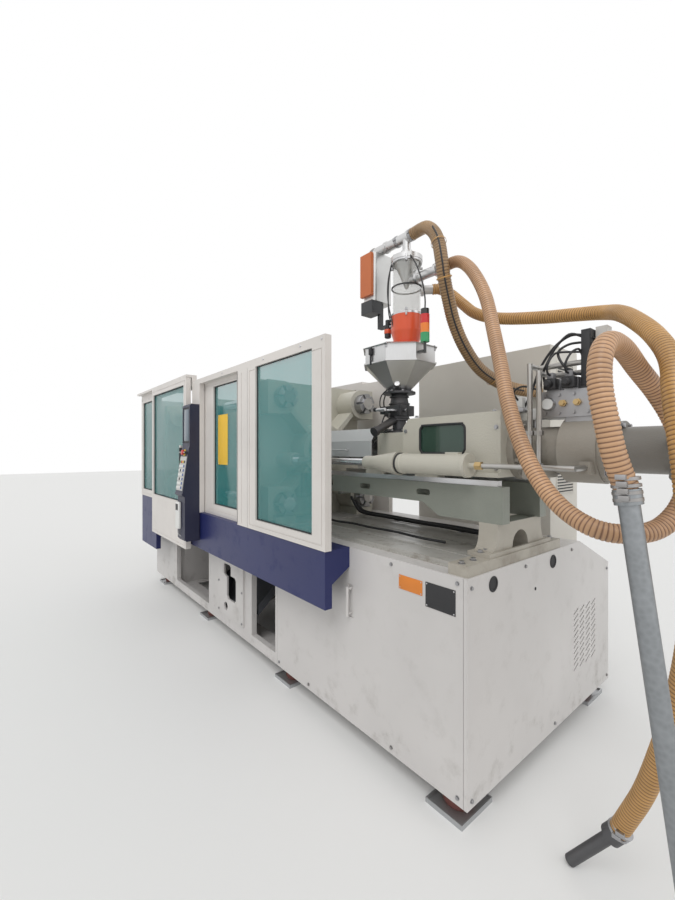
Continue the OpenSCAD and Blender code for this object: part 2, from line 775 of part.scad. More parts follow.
module rear_door_frame() {
  x0 = rear_door_x[0];
  x1 = rear_door_x[1];
  handle_low = deck_h + 380;
  color("whitesmoke") guard_leaf(x0, x1, rear_door_y, guard_t, sill_z + 20, guard_top - 0.3, 80, 80, 90, 80);
  color("dimgray") for (z = [handle_low, handle_low + 240])
    bar_y(rear_door_y + guard_t, rear_door_y + guard_t + 34, x1 - 40, z, 7);
  color("dimgray") translate([x1 - 40, rear_door_y + guard_t + 34, handle_low - 18]) cylinder(h = 276, r = 9);
}

module rear_door_pane() {
  color("mediumturquoise", 0.5) leaf_pane(rear_door_x[0], rear_door_x[1], rear_door_y, guard_t,
    sill_z + 20, guard_top - 0.3, 80, 80, 90, 80);
}

// Side outline of the control column: y, z from the foot up its front
key_low = [column_y + 8, deck_h + 160];
key_high = [-252, deck_h + 510];
screen_y = -246;
key_slope = atan2(key_high[0] - key_low[0], key_high[1] - key_low[1]);
column_z = [deck_h - 220, deck_h + 865];
screen_z = [deck_h + 558, deck_h + 836];

module control_housing() {
  color("midnightblue") difference() {
    along_x(column_x0, column_x1) polygon([[fix_y, column_z[0]], [-272, column_z[0]],
      [-284, column_z[0] + 16], [-284, key_low[1] - 32], [column_y, key_low[1] - 10], key_low, key_high,
      [screen_y, key_high[1] + 20], [screen_y, column_z[1] - 14],
      [screen_y + 12, column_z[1]], [fix_y, column_z[1]]]);
    // Bore that the stop button works in, then the recess of the screen
    on_keys() translate([(column_x1 - column_x0) / 2, 322, -20]) cylinder(h = 24, r = stop_stem_r + run_gap);
    block([column_x0 + 14, screen_y - over, screen_z[0] - 2],
      [column_x1 - 14, screen_y + 14, screen_z[1] + 2]);
  }
}

// Lays its children on the sloping key face: x to the right, y up the slope, z out of it
module on_keys() {
  translate([column_x0, key_low[0], key_low[1]])
    rotate([90 - key_slope, 0, 0]) children();
}

key_rows = 7;

// Screen and key field of the control column
module control_panel() {
  wide = column_x1 - column_x0;
  pitch = 34;
  color("lightsteelblue")
    block([column_x0 + 16, screen_y + 4, screen_z[0]], [column_x1 - 16, screen_y + 14, screen_z[1]]);
  on_keys() {
    color("gainsboro") translate([14, 20, 0]) cube([wide - 28, 270, 4]);
    color("white") for (r = [0:key_rows - 1])
      for (k = [0:3])
        translate([24 + k * 31, 32 + r * pitch, 4]) cube([24, 22, 3]);
  }
}

stop_r = 20;
stop_stem_r = 11;

module stop_button() {
  wide = column_x1 - column_x0;
  on_keys() translate([wide / 2, 322, 0]) {
    color("red") translate([0, 0, 12]) cylinder(h = 12, r = stop_r);
    color("red") translate([0, 0, -14]) cylinder(h = 27, r = stop_stem_r);
  }
}

// Injection base

module injection_base() {
  color("darkseagreen") difference() {
    union() {
      // Two beams, deeper towards the foot
      for (s = [-1, 1])
        along_y(axis_y + s * beam_y - beam_hw, axis_y + s * beam_y + beam_hw)
          polygon([[plat_back + 20, beam_top - 100], [-430, beam_top - 100], [-330, beam_top - 160],
            [0, beam_top - 160], [0, beam_top], [plat_back + 20, beam_top]]);
      // Flanges bolted to the fixed platen
      for (s = [-1, 1])
        block([plat_back, axis_y + s * beam_y - beam_hw - 20, beam_top - 170],
          [plat_back + 30, axis_y + s * beam_y + beam_hw + 20, beam_top]);
      // Cross ties
      for (x = [-1150, -640])
        block([x, axis_y - beam_y, beam_top - 90], [x + 60, axis_y + beam_y, beam_top - 20]);
    }
    // Slots cast through the beams
    for (x = [-1240, -900, -470])
      along_y(axis_y - beam_y - beam_hw - over, axis_y + beam_y + beam_hw + over)
        round_rect([x, beam_top - 66], [x + 86, beam_top - 36], 12);
  }
  // Rear foot with its arch, on a cross member over the bed's end
  foot_w = 240;
  foot_z = deck_h + 45;
  color("beige") difference() {
    union() {
      along_x(-112, -24) polygon(concat(
        [[axis_y - foot_w, foot_z], [axis_y + foot_w, foot_z]],
        [for (i = [0:8]) [axis_y + 200 + 40 * (1 - sin(i * 11.25)), foot_z + 20 + 90 * (1 - cos(i * 11.25))]],
        [[axis_y + 200, beam_top - 160], [axis_y - 200, beam_top - 160]],
        [for (i = [8:-1:0])
          [axis_y - 200 - 40 * (1 - sin(i * 11.25)), foot_z + 20 + 90 * (1 - cos(i * 11.25))]]));
      block([-118, axis_y - foot_w - 40, foot_z - 0.01], [-12, axis_y + foot_w + 40, foot_z + 18]);
      // Cross member
      block([-96, 12, deck_h], [-6, 834, foot_z]);
    }
    bar_x(-112 - over, -24 + over, axis_y, foot_z + 18, 72);
  }
}

module carriage_rods() {
  color("silver") for (s = [-1, 1]) {
    y = axis_y + s * pull_y;
    piston_x = pull_x1 - 14 - pull_piston;
    bar_x(plat_back, piston_x, y, pull_z, pull_rod_r);
    bar_x(plat_back, plat_back + 26, y, pull_z, 42);
    bar_x(piston_x, piston_x + pull_piston, y, pull_z, pull_bore - run_gap);
  }
}

// Rounded window cut through both sides of the carriage
window_x = [-460, -200];
window_z = [axis_h - 14, axis_h + 122];

module carriage() {
  y0 = axis_y - case_hw;
  y1 = axis_y + case_hw;
  neck_hw = 104;
  color("beige") difference() {
    union() {
      // Coupling housing, its top edge falling towards the neck
      along_y(y0, y1) polygon([[case_x0, case_bot], [case_x1, case_bot], [case_x1, case_top + 6],
        [case_x0 + 40, case_top], [case_x0, case_top - 46]]);
      // Neck that holds the barrel
      block([neck_x0, axis_y - neck_hw, case_bot], [case_x0, axis_y + neck_hw, axis_h + 100]);
      // Heads and webs of the two carriage cylinders
      for (s = [-1, 1]) {
        y = axis_y + s * pull_y;
        cone_x(pull_x0 - 190, pull_x0, y, pull_z, 36, pull_r + 12);
        bar_x(pull_x0 - 250, pull_x0 - 190, y, pull_z, 36);
        block([pull_x0 - 210, min(y, axis_y), pull_z - 26], [pull_x0 - 10, max(y, axis_y), pull_z + 26]);
      }
      // Bed plate and shoes
      block([neck_x0, axis_y - beam_y - 30, case_bot - 20], [case_x1, axis_y + beam_y + 30, case_bot]);
      for (s = [-1, 1])
        for (x = [neck_x0, -480])
          block([x, axis_y + s * beam_y - 30, beam_top + bed_rail_h + slide_gap],
            [x + 140, axis_y + s * beam_y + 30, case_bot - 20]);
      // Ears that hold the barrel guard's hinge rod
      block([neck_x0, axis_y + neck_hw, case_bot + 30], [neck_x0 + 30, axis_y + 176, case_bot + 76]);
      bar_x(hinge_x0, neck_x0 + 1, hinge_y, hinge_z, hinge_r);
    }
    // Room for the coupling
    block([case_x0 + case_wall, y0 + case_wall, case_bot + case_wall],
      [case_x1 - 40, y1 - case_wall, case_top - 20]);
    along_y(y0 - over, y1 + over) round_rect([window_x[0], window_z[0]], [window_x[1], window_z[1]], 26);
    // Barrel seat, screw shaft bore and ram bore
    bar_x(neck_x0 - over, barrel_x1 + 0.3, axis_y, axis_h, barrel_r + seat_gap);
    bar_x(barrel_x1, case_x0 + case_wall + over, axis_y, axis_h, screw_r + 2);
    bar_x(case_x1 - 40 - over, case_x1 + over, axis_y, axis_h, 35 + run_gap);
    // Feed hole down into the barrel
    translate([feed_x, axis_y, axis_h + 30]) cylinder(h = 80, r = 26);
    for (s = [-1, 1])
      bar_x(pull_x0 - 250 - over, pull_x0 + over, axis_y + s * pull_y, pull_z, pull_rod_r + run_gap);
  }
}

module carriage_windows() {
  color("darkslategray", 0.6) for (y = [axis_y - case_hw + 6, axis_y + case_hw - 12])
    along_y(y, y + 6) round_rect([window_x[0] + seat_gap, window_z[0] + seat_gap],
      [window_x[1] - seat_gap, window_z[1] - seat_gap], 26 - seat_gap);
}

module barrel() {
  color("slategray") difference() {
    union() {
      bar_x(barrel_x0, barrel_x1, axis_y, axis_h, barrel_r);
      bar_x(barrel_x0 - 26, barrel_x0, axis_y, axis_h, barrel_r - 14);
    }
    bar_x(barrel_x0 + 10, barrel_x1 + over, axis_y, axis_h, bore_r);
    bar_x(barrel_x0 - 27, barrel_x0 + 11, axis_y, axis_h, 6);
    translate([feed_x, axis_y, axis_h + 5]) cylinder(h = barrel_r + 5, r = 20);
  }
}

band_n = 4;
band_w = 96;

module heater_bands() {
  color("gray") difference() {
    union() {
      for (i = [0:band_n - 1]) {
        x = barrel_x0 + 14 + i * (band_w + 28);
        bar_x(x, x + band_w, axis_y, axis_h, barrel_r + 7);
        // Clamping screw box of each band
        block([x + 16, axis_y - 14, axis_h - barrel_r - 18],
          [x + band_w - 16, axis_y + 14, axis_h - barrel_r]);
      }
    }
    bar_x(barrel_x0 - over, neck_x0, axis_y, axis_h, barrel_r + seat_gap);
  }
}

module nozzle() {
  tip = plat_face + centring_d + 24;
  color("darkgoldenrod") difference() {
    union() {
      cone_x(tip, tip + 24, axis_y, axis_h, 14, 24);
      bar_x(tip + 24, barrel_x0 - 60, axis_y, axis_h, 24);
      cone_x(barrel_x0 - 60, barrel_x0 - 26, axis_y, axis_h, 24, 44);
    }
    bar_x(tip - over, barrel_x0 - 25, axis_y, axis_h, 3);
  }
}

module carriage_cylinders() {
  color("beige") for (s = [-1, 1]) {
    y = axis_y + s * pull_y;
    difference() {
      union() {
        bar_x(pull_x0, pull_x1, y, pull_z, pull_r);
        bar_x(pull_x1 - 16, pull_x1, y, pull_z, pull_r + 3);
        bar_x(pull_x1, pull_x1 + 30, y, pull_z, 12);
        block([pull_x1 - 120, y - 14, pull_z + pull_r - 8], [pull_x1 - 50, y + 14, pull_z + pull_r + 8]);
      }
      bar_x(pull_x0 + 6, pull_x1 - 10, y, pull_z, pull_bore);
      bar_x(pull_x0 - over, pull_x0 + 7, y, pull_z, pull_rod_r + run_gap);
    }
  }
}

bolt_ring = 8;

module injection_cylinder() {
  color("beige") difference() {
    union() {
      bar_x(case_x1, 190, axis_y, axis_h, inj_r);
      bar_x(case_x1, case_x1 + 30, axis_y, axis_h, inj_r + 34);
      bar_x(190, inj_x1 + 20, axis_y, axis_h, inj_r + 34);
      bar_x(inj_x1 + 20, flange_x1, axis_y, axis_h, inj_r + 26);
      // Screws round the end flange
      for (i = [0:bolt_ring - 1])
        translate([0, axis_y, axis_h]) rotate([i * 45 + 22.5, 0, 0])
          bar_x(case_x1 + 30, case_x1 + 44, 0, inj_r + 18, 9);
      // Port blocks of the oil lines
      block([oil_x - 22, oil_y - 22, oil_z - 30], [oil_x + 60, axis_y - 10, oil_z]);
      block([280, axis_y - 150, pull_z - 24], [320, axis_y - 60, pull_z + 24]);
    }
    bar_x(case_x1 - over, case_x1 + 30, axis_y, axis_h, 35 + run_gap);
    bar_x(case_x1 + 30, inj_x1, axis_y, axis_h, ram_bore);
  }
}

module screw_motor() {
  color("slategray") {
    bar_x(flange_x1, flange_x1 + 40, axis_y, axis_h, inj_r + 12);
    bar_x(flange_x1 + 40, motor_end - 120, axis_y, axis_h, inj_r - 12);
    // Radial cylinders of the slow hydraulic motor
    for (i = [0:4])
      translate([motor_end - 230, axis_y, axis_h]) rotate([i * 72, 0, 0]) {
        cylinder(h = inj_r + 18, r = 34);
        translate([0, 0, inj_r + 18]) cylinder(h = 10, r = 26);
      }
    bar_x(motor_end - 120, motor_end, axis_y, axis_h, 60);
  }
}

valve_x = [110, 300];
valve_z = axis_h + inj_r + 34;

module valve_block() {
  color("silver") {
    // Manifold on its saddle over the cylinder head
    difference() {
      union() {
        block([200, axis_y - 70, axis_h + inj_r - 10], [300, axis_y + 70, valve_z]);
        block([valve_x[0], axis_y - 80, valve_z], [valve_x[1], axis_y + 80, valve_z + 110]);
      }
      bar_x(190, 320, axis_y, axis_h, inj_r + 34 + seat_gap);
    }
    // Solenoid valves on the manifold's operator side
    for (x = [130, 200])
      block([x, axis_y - 80, valve_z + 110], [x + 52, axis_y + 60, valve_z + 158]);
  }
}

module servo_drive() {
  z0 = valve_z + 110;
  color("dimgray") block([262, axis_y - 80, z0], [296, axis_y + 20, z0 + 230]);
  color("whitesmoke") block([valve_x[1], axis_y - 40, valve_z], [valve_x[1] + 40, axis_y + 10, z0 + 240]);
}

oil_r = 11;
oil_x = 85;
oil_y = 326;
oil_z = axis_h - 85;

// Pressure lines from the cylinder's port block up and into the drive's box
module oil_pipes() {
  color("silver") {
    for (k = [0, 1]) {
      x = oil_x + 38 * k;
      z = valve_z + 216 - 34 * k;
      y1 = axis_y - 60 + 34 * k;
      translate([x, oil_y, oil_z]) cylinder(h = z + oil_r - oil_z, r = oil_r);
      bar_y(oil_y, y1 + oil_r, x, z, oil_r);
      bar_x(x, 262, y1, z, oil_r);
      translate([x, oil_y, oil_z]) cylinder(h = 24, r = oil_r + 5, $fn = 6);
    }
    // Return line from the carriage cylinder to the injection cylinder's end
    bar_x(pull_x1 + 30, 300 + oil_r, axis_y - pull_y, pull_z, oil_r);
    bar_y(axis_y - pull_y, axis_y - 150, 300, pull_z, oil_r);
    bar_x(pull_x1 + 30, pull_x1 + 56, axis_y - pull_y, pull_z, oil_r + 5);
  }
}

// Helical screw, twisted from a flattened round section
screw_len = 780;

module screw() {
  x0 = barrel_x0 + 24;
  turns = screw_len / screw_pitch;
  color("silver") {
    translate([x0, axis_y, axis_h]) rotate([0, 90, 0])
      linear_extrude(height = screw_len, twist = -360 * turns, slices = ceil(turns * 8), $fn = 12)
        intersection() {
          circle(screw_r);
          union() {
            circle(screw_r - 8, $fn = 8);
            translate([0, -5]) square([screw_r, 10]);
          }
        }
    bar_x(x0 + screw_len, -430.3, axis_y, axis_h, shaft_r);
    cone_x(x0 - 12, x0, axis_y, axis_h, 4, 14);
  }
}

module injection_ram() {
  color("silver") {
    bar_x(-430, -330, axis_y, axis_h, 46);
    bar_x(-330, 40, axis_y, axis_h, 35);
    bar_x(40, 84, axis_y, axis_h, ram_bore - run_gap);
  }
}

// Barrel guard and its hinge
hinge_y = axis_y + 164;
hinge_z = axis_h - 46;
hinge_r = 6;
hinge_x0 = -1400;
hood_x = [-1404, neck_x0 - 5];

module hood_profile(t) {
  w = 150 - t;
  s = 108 - t;
  low = axis_h - 42 - (t > 0 ? over : 0);
  polygon([[axis_y - w, low], [axis_y - w, axis_h + 55], [axis_y - s, axis_h + 130 - t],
    [axis_y + s, axis_h + 130 - t], [axis_y + w, axis_h + 55], [axis_y + w, low]]);
}

module barrel_guard() {
  color("lightgray") difference() {
    union() {
      difference() {
        along_x(hood_x[0], hood_x[1]) hood_profile(0);
        along_x(hood_x[0] - over, hood_x[1] + over) hood_profile(3);
      }
      // Knuckles on the hinge rod
      for (x = [-1380, -1130, -900]) {
        bar_x(x, x + 30, hinge_y, hinge_z, hinge_r + 6);
        block([x, axis_y + 147, hinge_z + 2], [x + 30, hinge_y, hinge_z + 10]);
      }
      // Pull handle on the operator side
      bar_x(-1200, -1060, axis_y - 172, axis_h, 6);
      for (x = [-1196, -1076])
        block([x, axis_y - 174, axis_h - 5], [x + 12, axis_y - 149, axis_h + 5]);
    }
    for (x = [-1380, -1130, -900])
      bar_x(x - over, x + 30 + over, hinge_y, hinge_z, hinge_r + run_gap);
  }
}

// Hopper column

module feed_throat() {
  z0 = axis_h + 100;
  color("dimgray") difference() {
    union() {
      translate([feed_x, axis_y, z0]) cylinder(h = 14, r = 72);
      translate([feed_x, axis_y, z0]) cylinder(h = 76, r = 40);
      translate([feed_x, axis_y, z0 + 76]) cylinder(h = gate_z - z0 - 76, r = 58);
      block([feed_x - 62, axis_y - 62, gate_z - 30], [feed_x + 62, axis_y + 62, gate_z + 30]);
      translate([feed_x, axis_y, gate_z + 30]) cylinder(h = cone_z - gate_z - 42, r1 = 58, r2 = 46);
      translate([feed_x, axis_y, cone_z - 12]) cylinder(h = 12, r = 96);
      // Drain spout towards the operator
      translate([feed_x, axis_y - 34, gate_z - 48]) rotate([115, 0, 0]) {
        cylinder(h = 190, r = 23);
        translate([0, 0, 176]) cylinder(h = 20, r = 28);
      }
    }
    // Way for the granules
    translate([feed_x, axis_y, z0 - over]) cylinder(h = cone_z - z0 + 2 * over, r = 27);
    // Slot of the shut-off slide
    block([feed_x - 40.5, axis_y - 63, gate_z - 5.5], [feed_x + 40.5, axis_y + 46, gate_z + 5.5]);
  }
}

gate_travel = 78;

module gate_slide() {
  color("silver") block([feed_x - 40, axis_y - gate_travel - 32, gate_z - 5],
    [feed_x + 40, axis_y + gate_travel - 40, gate_z + 5]);
  color("dimgray") {
    bar_y(axis_y - 150, axis_y - 110, feed_x, gate_z, 7);
    bar_x(feed_x - 34, feed_x + 34, axis_y - 156, gate_z, 9);
  }
}

// An upright eight-sided ring or cone, by its widths across flats
module octagon(h, w0, w1) {
  rotate(22.5) cylinder(h = h, r1 = w0 / 2 / cos(22.5), r2 = w1 / 2 / cos(22.5), $fn = 8);
}

cone_w = 110;

module hopper() {
  color("silver") translate([feed_x, axis_y, 0]) difference() {
    union() {
      translate([0, 0, cone_z]) octagon(cone_h, cone_w, hopper_w);
      translate([0, 0, band_z]) octagon(band_h, hopper_w, hopper_w);
      translate([0, 0, band_z - 4]) octagon(8, hopper_w + 16, hopper_w + 16);
    }
    translate([0, 0, cone_z - 0.01]) octagon(cone_h + 0.02, cone_w - 2 * hopper_t, hopper_w - 2 * hopper_t);
    translate([0, 0, band_z]) octagon(band_h + over, hopper_w - 2 * hopper_t, hopper_w - 2 * hopper_t);
  }
  // Level sensor in the cone's wall
  color("white") translate([feed_x + 44, axis_y - 62, cone_z + 26])
    rotate([68, 0, 35]) cylinder(h = 34, r = 15);
  // Lid with the loader's hole
  color("silver") translate([feed_x, axis_y, lid_z]) difference() {
    octagon(14, hopper_w + 26, hopper_w - 40);
    translate([loader_x - feed_x, 0, -over]) cylinder(h = 30, r = 60);
  }
}

module loader_base() {
  color("orangered") translate([loader_x, axis_y, 0]) difference() {
    union() {
      translate([0, 0, lid_z + 14]) cylinder(h = 10, r = glass_r + 16);
      translate([0, 0, lid_z + 24]) cylinder(h = 74, r1 = 70, r2 = glass_r + 8);
      translate([0, 0, lid_z + 98]) cylinder(h = glass_z - lid_z - 98, r = glass_r + 8);
      block([-glass_r - 16, -24, glass_z - 30], [-glass_r, 24, glass_z - 10]);
    }
    translate([0, 0, lid_z]) cylinder(h = 98, r = 52);
    translate([0, 0, lid_z + 97]) cylinder(h = glass_z - lid_z, r = glass_r - 6);
  }
}

module loader_glass() {
  color("lightgray", 0.5) translate([loader_x, axis_y, glass_z]) difference() {
    cylinder(h = glass_h, r = glass_r);
    translate([0, 0, -over]) cylinder(h = glass_h + 2 * over, r = glass_r - 5);
  }
}

module loader_head() {
  port_z = head_z - 114;
  color("silver") {
    translate([loader_x, axis_y, head_z]) cylinder(h = 26, r = glass_r + 10);
    // Suction pipe over the head, from the filter to the hose
    translate([loader_x, axis_y, head_z + 26]) cylinder(h = pipe_z - head_z - 26, r = pipe_r - 6);
    bar_x(-1000, hose_a[0][0] - 0.3, axis_y, pipe_z, pipe_r);
    for (x = [-880, -700])
      bar_x(x, x + 16, axis_y, pipe_z, pipe_r + 5);
    // Material inlet with its clamp ring
    bar_x(loader_x + glass_r + 0.3, hose_b[0][0], axis_y, port_z, 26);
    bar_x(hose_b[0][0] - 60, hose_b[0][0] - 44, axis_y, port_z, 36);
    bar_x(loader_x + glass_r + 0.3, loader_x + glass_r + 16, axis_y, port_z, 40);
    // Second inlet at the rear, for the supply hose
    translate([loader_x, axis_y, hose_c[0][2]]) rotate([0, 0, 45]) {
      bar_x(glass_r + 0.3, (hose_c[0][0] - loader_x) / cos(45) - 0.3, 0, 0, 26);
      bar_x(glass_r + 0.3, glass_r + 16, 0, 0, 36);
    }
  }
}

module filter_housing() {
  x0 = -1010;
  x1 = -905;
  y0 = axis_y - 80;
  y1 = axis_y + 84;
  z0 = glass_z + 140;
  z1 = pipe_z - pipe_r - 0.3;
  color("silver") translate([0, 0, z0]) linear_extrude(z1 - z0) round_rect([x0, y0], [x1, y1], 24);
  color("orange") block([x0 + 4, y0 - 22, z0 + 30], [x1 - 4, y0, z1 - 10]);
  color("dimgray") block([x0 + 4, y0 - 14, z0 - 78], [x1 - 4, y0 + 70, z0]);
  // Bracket to the sight glass's base
  color("gray") block([x1 - 30, axis_y - 20, glass_z - 26],
    [loader_x - glass_r - 16, axis_y + 20, glass_z - 14]);
  color("gray") block([x1 - 30, axis_y - 20, glass_z - 26], [x1 - 18, axis_y + 20, z0]);
}

module signal_tower() {
  x = feed_x + hopper_w / 2 + 42;
  y = axis_y - 60;
  color("dimgray") {
    translate([x, y, band_z + 30]) cylinder(h = 60, r = 8);
    block([feed_x + hopper_w / 2, y - 12, band_z + 36], [x, y + 12, band_z + 48]);
    translate([x, y, band_z + 240]) cylinder(h = 30, r = 23);
  }
  color("seagreen") translate([x, y, band_z + 90]) cylinder(h = 50, r = 25);
  color("orange") translate([x, y, band_z + 140]) cylinder(h = 50, r = 25);
  color("red") translate([x, y, band_z + 190]) cylinder(h = 50, r = 25);
}

cab_x = [-1150, -170];
cab_y = [bed_w - shoulder_w + 30, bed_w - 24];
cab_top = deck_h + 1120;

module control_cabinet() {
  port = hose_a[len(hose_a) - 1];
  color("beige") difference() {
    union() {
      bar_y(port[1] + 0.3, cab_y[0], port[0], port[2], vacuum_r + 8);
      along_x(cab_x[0], cab_x[1]) polygon([
        for (y = cab_y) [y, deck_h - shoulder_drop * (y - bed_w + shoulder_w) / shoulder_w],
        [cab_y[1], cab_top], [cab_y[0], cab_top]]);
    }
    // Way of the air from the hose into the blower's compartment
    bar_y(port[1], cab_y[0] + 31, port[0], port[2], vacuum_r - 6);
    // Door opening at the rear, the inside left clear
    block([cab_x[0] + 40, cab_y[0] + 30, deck_h + 60], [cab_x[1] - 40, cab_y[1] + over, cab_top - 50]);
  }
}

module cabinet_door() {
  y0 = cab_y[1] + 0.3;
  y1 = bed_w - 4;
  pin_x = cab_x[0] + 6;
  color("beige") difference() {
    union() {
      block([cab_x[0] + 14, y0, deck_h + 40], [cab_x[1] - 6, y1, cab_top - 30]);
      bar_r2 = 9;
      for (z = [deck_h + 180, deck_h + 900])
        translate([pin_x + 4, y1 - 9, z]) cylinder(h = 60, r = bar_r2);
    }
    block([cab_x[0] + 60, y1 - 4, deck_h + 90], [cab_x[1] - 60, y1 + over, cab_top - 90]);
  }
  color("dimgray") block([cab_x[1] - 50, y1 - 4, deck_h + 480], [cab_x[1] - 26, bed_w, deck_h + 600]);
}

// Hoses

function unit(v) = v / norm(v);
// Direction of a hose at a point; its two ends face the pieces that hold them
function path_dir(p, i, ends) =
  i == 0 ? unit(ends[0]) : i == len(p) - 1 ? unit(ends[1]) : unit(p[i + 1] - p[i - 1]);
function ring(p, i, r, ends) =
  let (t = path_dir(p, i, ends), u = unit(cross(t, [1, -1, 0])), v = cross(t, u))
  [for (k = [0:hose_sides - 1]) let (a = 360 * k / hose_sides) p[i] + r * (u * cos(a) + v * sin(a))];

// Plain tube swept along a hose's points
module hose_tube(p, r, ends) {
  n = len(p);
  m = hose_sides;
  points = [for (i = [0:n - 1]) each ring(p, i, r, ends)];
  sides = [for (i = [0:n - 2]) for (k = [0:m - 1])
    let (a = i * m + k, b = i * m + (k + 1) % m) each [[a, b, b + m], [a, b + m, a + m]]];
  polyhedron(points, concat(sides, [[for (k = [m - 1:-1:0]) k]], [[for (k = [0:m - 1]) (n - 1) * m + k]]));
}

module hose_material() {
  color("peru") hose_tube(hose_b, material_r, [[1, 0, 0], lance_foot - hose_b[len(hose_b) - 1]]);
}

module hose_supply() {
  color("peru") hose_tube(hose_c, material_r, [[1, 1, 0], wand_foot - hose_c[len(hose_c) - 1]]);
}

module hose_vacuum() {
  color("saddlebrown") hose_tube(hose_a, vacuum_r, [[1, 0, 0], [0, 1, 0]]);
}

lance_foot = [730, -110, 44];
wand_foot = [290, 208, 12.5];

// Straight pipe from a hose's end to its foot, with the hose clamp at its mouth
module lance_pipe(top, foot, r) {
  axis = foot - top;
  translate(top) rotate([0, acos(axis[2] / norm(axis)), atan2(axis[1], axis[0])]) {
    translate([0, 0, 1.6]) cylinder(h = norm(axis) - 1.6, r = r);
    translate([0, 0, 1.6]) cylinder(h = 40, r = material_r + 3);
  }
}

module suction_lance() {
  color("lightgray") {
    lance_pipe(hose_b[len(hose_b) - 1], lance_foot, 25);
    // Foot with its air holes
    difference() {
      translate([lance_foot[0], lance_foot[1], 0]) cylinder(h = 70, r = 36);
      for (a = [0:60:150])
        translate([lance_foot[0], lance_foot[1], 14]) rotate([90, 0, a])
          translate([0, 0, -40]) cylinder(h = 80, r = 7);
    }
    // Short wand of the supply hose, its rim on the floor
    lance_pipe(hose_c[len(hose_c) - 1], wand_foot, 20);
  }
}

placed() bed_frame();
placed() front_panels();
placed() end_panel();
placed() part_chute();
placed() drip_tray();
placed() mount_steel();
placed() mount_pads();
placed() front_skirts();
placed() fixed_platen();
placed() end_platen();
placed() tie_bars();
placed() tie_bar_nuts();
placed() clamp_cylinder();
placed() slide_rails();
placed() guard_frame();
placed() guard_panes();
placed() rear_guard();
placed() control_housing();
placed() control_panel();
placed() stop_button();
placed() injection_base();
placed() carriage_rods();
placed() control_cabinet();
placed() cabinet_door();
placed() moving_platen();
placed() clamp_ram();
placed() ejector_cylinder();
placed() ejector_plate();
placed() front_door_frame();
placed() front_door_pane();
placed() clamp_door_frame();
placed() clamp_door_pane();
placed() rear_door_frame();
placed() rear_door_pane();
placed() carriage();
placed() carriage_windows();
placed() barrel();
placed() heater_bands();
placed() nozzle();
placed() carriage_cylinders();
placed() injection_cylinder();
placed() screw_motor();
placed() valve_block();
placed() servo_drive();
placed() oil_pipes();
placed() screw();
placed() injection_ram();
placed() barrel_guard();
placed() feed_throat();
placed() gate_slide();
placed() hopper();
placed() loader_base();
placed() loader_glass();
placed() loader_head();
placed() filter_housing();
placed() signal_tower();
placed() hose_material();
placed() hose_supply();
placed() hose_vacuum();
placed() suction_lance();
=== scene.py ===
# %% [markdown]
# # Dressing an injection moulding machine
# The machine's solids come from a CAD model that is already measured and jointed.
# This notebook gives them their paint, steel, glass and rubber, and adds the small
# pieces that a CAD model leaves out. Every length is in metres: x runs along the
# machine towards its injection unit, y from the operator to the rear, z up.

# %% Load the CAD frame
import math

import bmesh
import bpy
from mathutils import Matrix, Vector


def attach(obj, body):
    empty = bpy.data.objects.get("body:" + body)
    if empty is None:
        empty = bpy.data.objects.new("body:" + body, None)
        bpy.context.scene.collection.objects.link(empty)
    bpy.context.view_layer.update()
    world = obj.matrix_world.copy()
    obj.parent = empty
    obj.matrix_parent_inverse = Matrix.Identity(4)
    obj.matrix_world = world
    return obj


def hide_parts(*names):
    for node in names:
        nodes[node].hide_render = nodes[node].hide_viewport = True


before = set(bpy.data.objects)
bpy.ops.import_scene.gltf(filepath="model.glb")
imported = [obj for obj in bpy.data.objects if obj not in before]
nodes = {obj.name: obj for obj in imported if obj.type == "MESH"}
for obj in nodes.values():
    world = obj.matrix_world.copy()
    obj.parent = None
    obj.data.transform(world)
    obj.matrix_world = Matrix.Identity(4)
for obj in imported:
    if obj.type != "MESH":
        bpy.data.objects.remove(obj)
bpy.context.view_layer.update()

# %% [markdown]
# ## Camera
# The photograph was taken at eye height with the camera level, so the uprights of
# the machine stay upright in it. A camera is given its place and the direction it
# looks in. `sensor_fit` is set to vertical because the view angle was measured up
# the picture, and a level camera needs no shift.

# %% Camera
view_turn = math.radians(39.1)
camera_data = bpy.data.cameras.new("camera")
camera_data.sensor_fit = "VERTICAL"
camera_data.sensor_height = 24.0
focal_pixels, picture_height = 412.6, 900
camera_data.lens = camera_data.sensor_height * focal_pixels / picture_height
camera_data.clip_end = 60
camera = bpy.data.objects.new("camera", camera_data)
bpy.context.scene.collection.objects.link(camera)
camera.location = (2.569, -1.986, 1.5)
look = Vector((-math.cos(view_turn), math.sin(view_turn), 0))
camera.rotation_euler = look.to_track_quat("-Z", "Y").to_euler()
bpy.context.scene.camera = camera
print("lens", round(camera_data.lens, 2), "mm, looking along", [round(c, 3) for c in look])

# %% [markdown]
# ## Places and node trees
# The CAD model was drawn in millimetres from a corner of its own, so one helper turns
# a drawing point into the shared frame's metres. The others are the few steps that
# every Geometry Nodes tree below needs: make the tree with named sizes, add a node,
# run the tree on an object and keep the result as a plain mesh. A modifier's input is
# set by its socket's identifier, because its name is only a label.

# %% Places and routes
def at(x, y, z):
    """A point given in drawing millimetres, as the row frame's metres."""
    return Vector(((x + 1650) / 1000, (y - 595) / 1000, z / 1000))


def smooth_route(points, steps):
    """A rounded line through the points, as a list of points."""
    route = []
    last = len(points) - 1
    for i in range(last):
        before = points[max(i - 1, 0)]
        start, end = points[i], points[i + 1]
        after = points[min(i + 2, last)]
        for k in range(steps):
            t = k / steps
            route.append(0.5 * ((2 * start) + (end - before) * t
                                + (2 * before - 5 * start + 4 * end - after) * t * t
                                + (3 * start - before - 3 * end + after) * t ** 3))
    route.append(points[last])
    return route


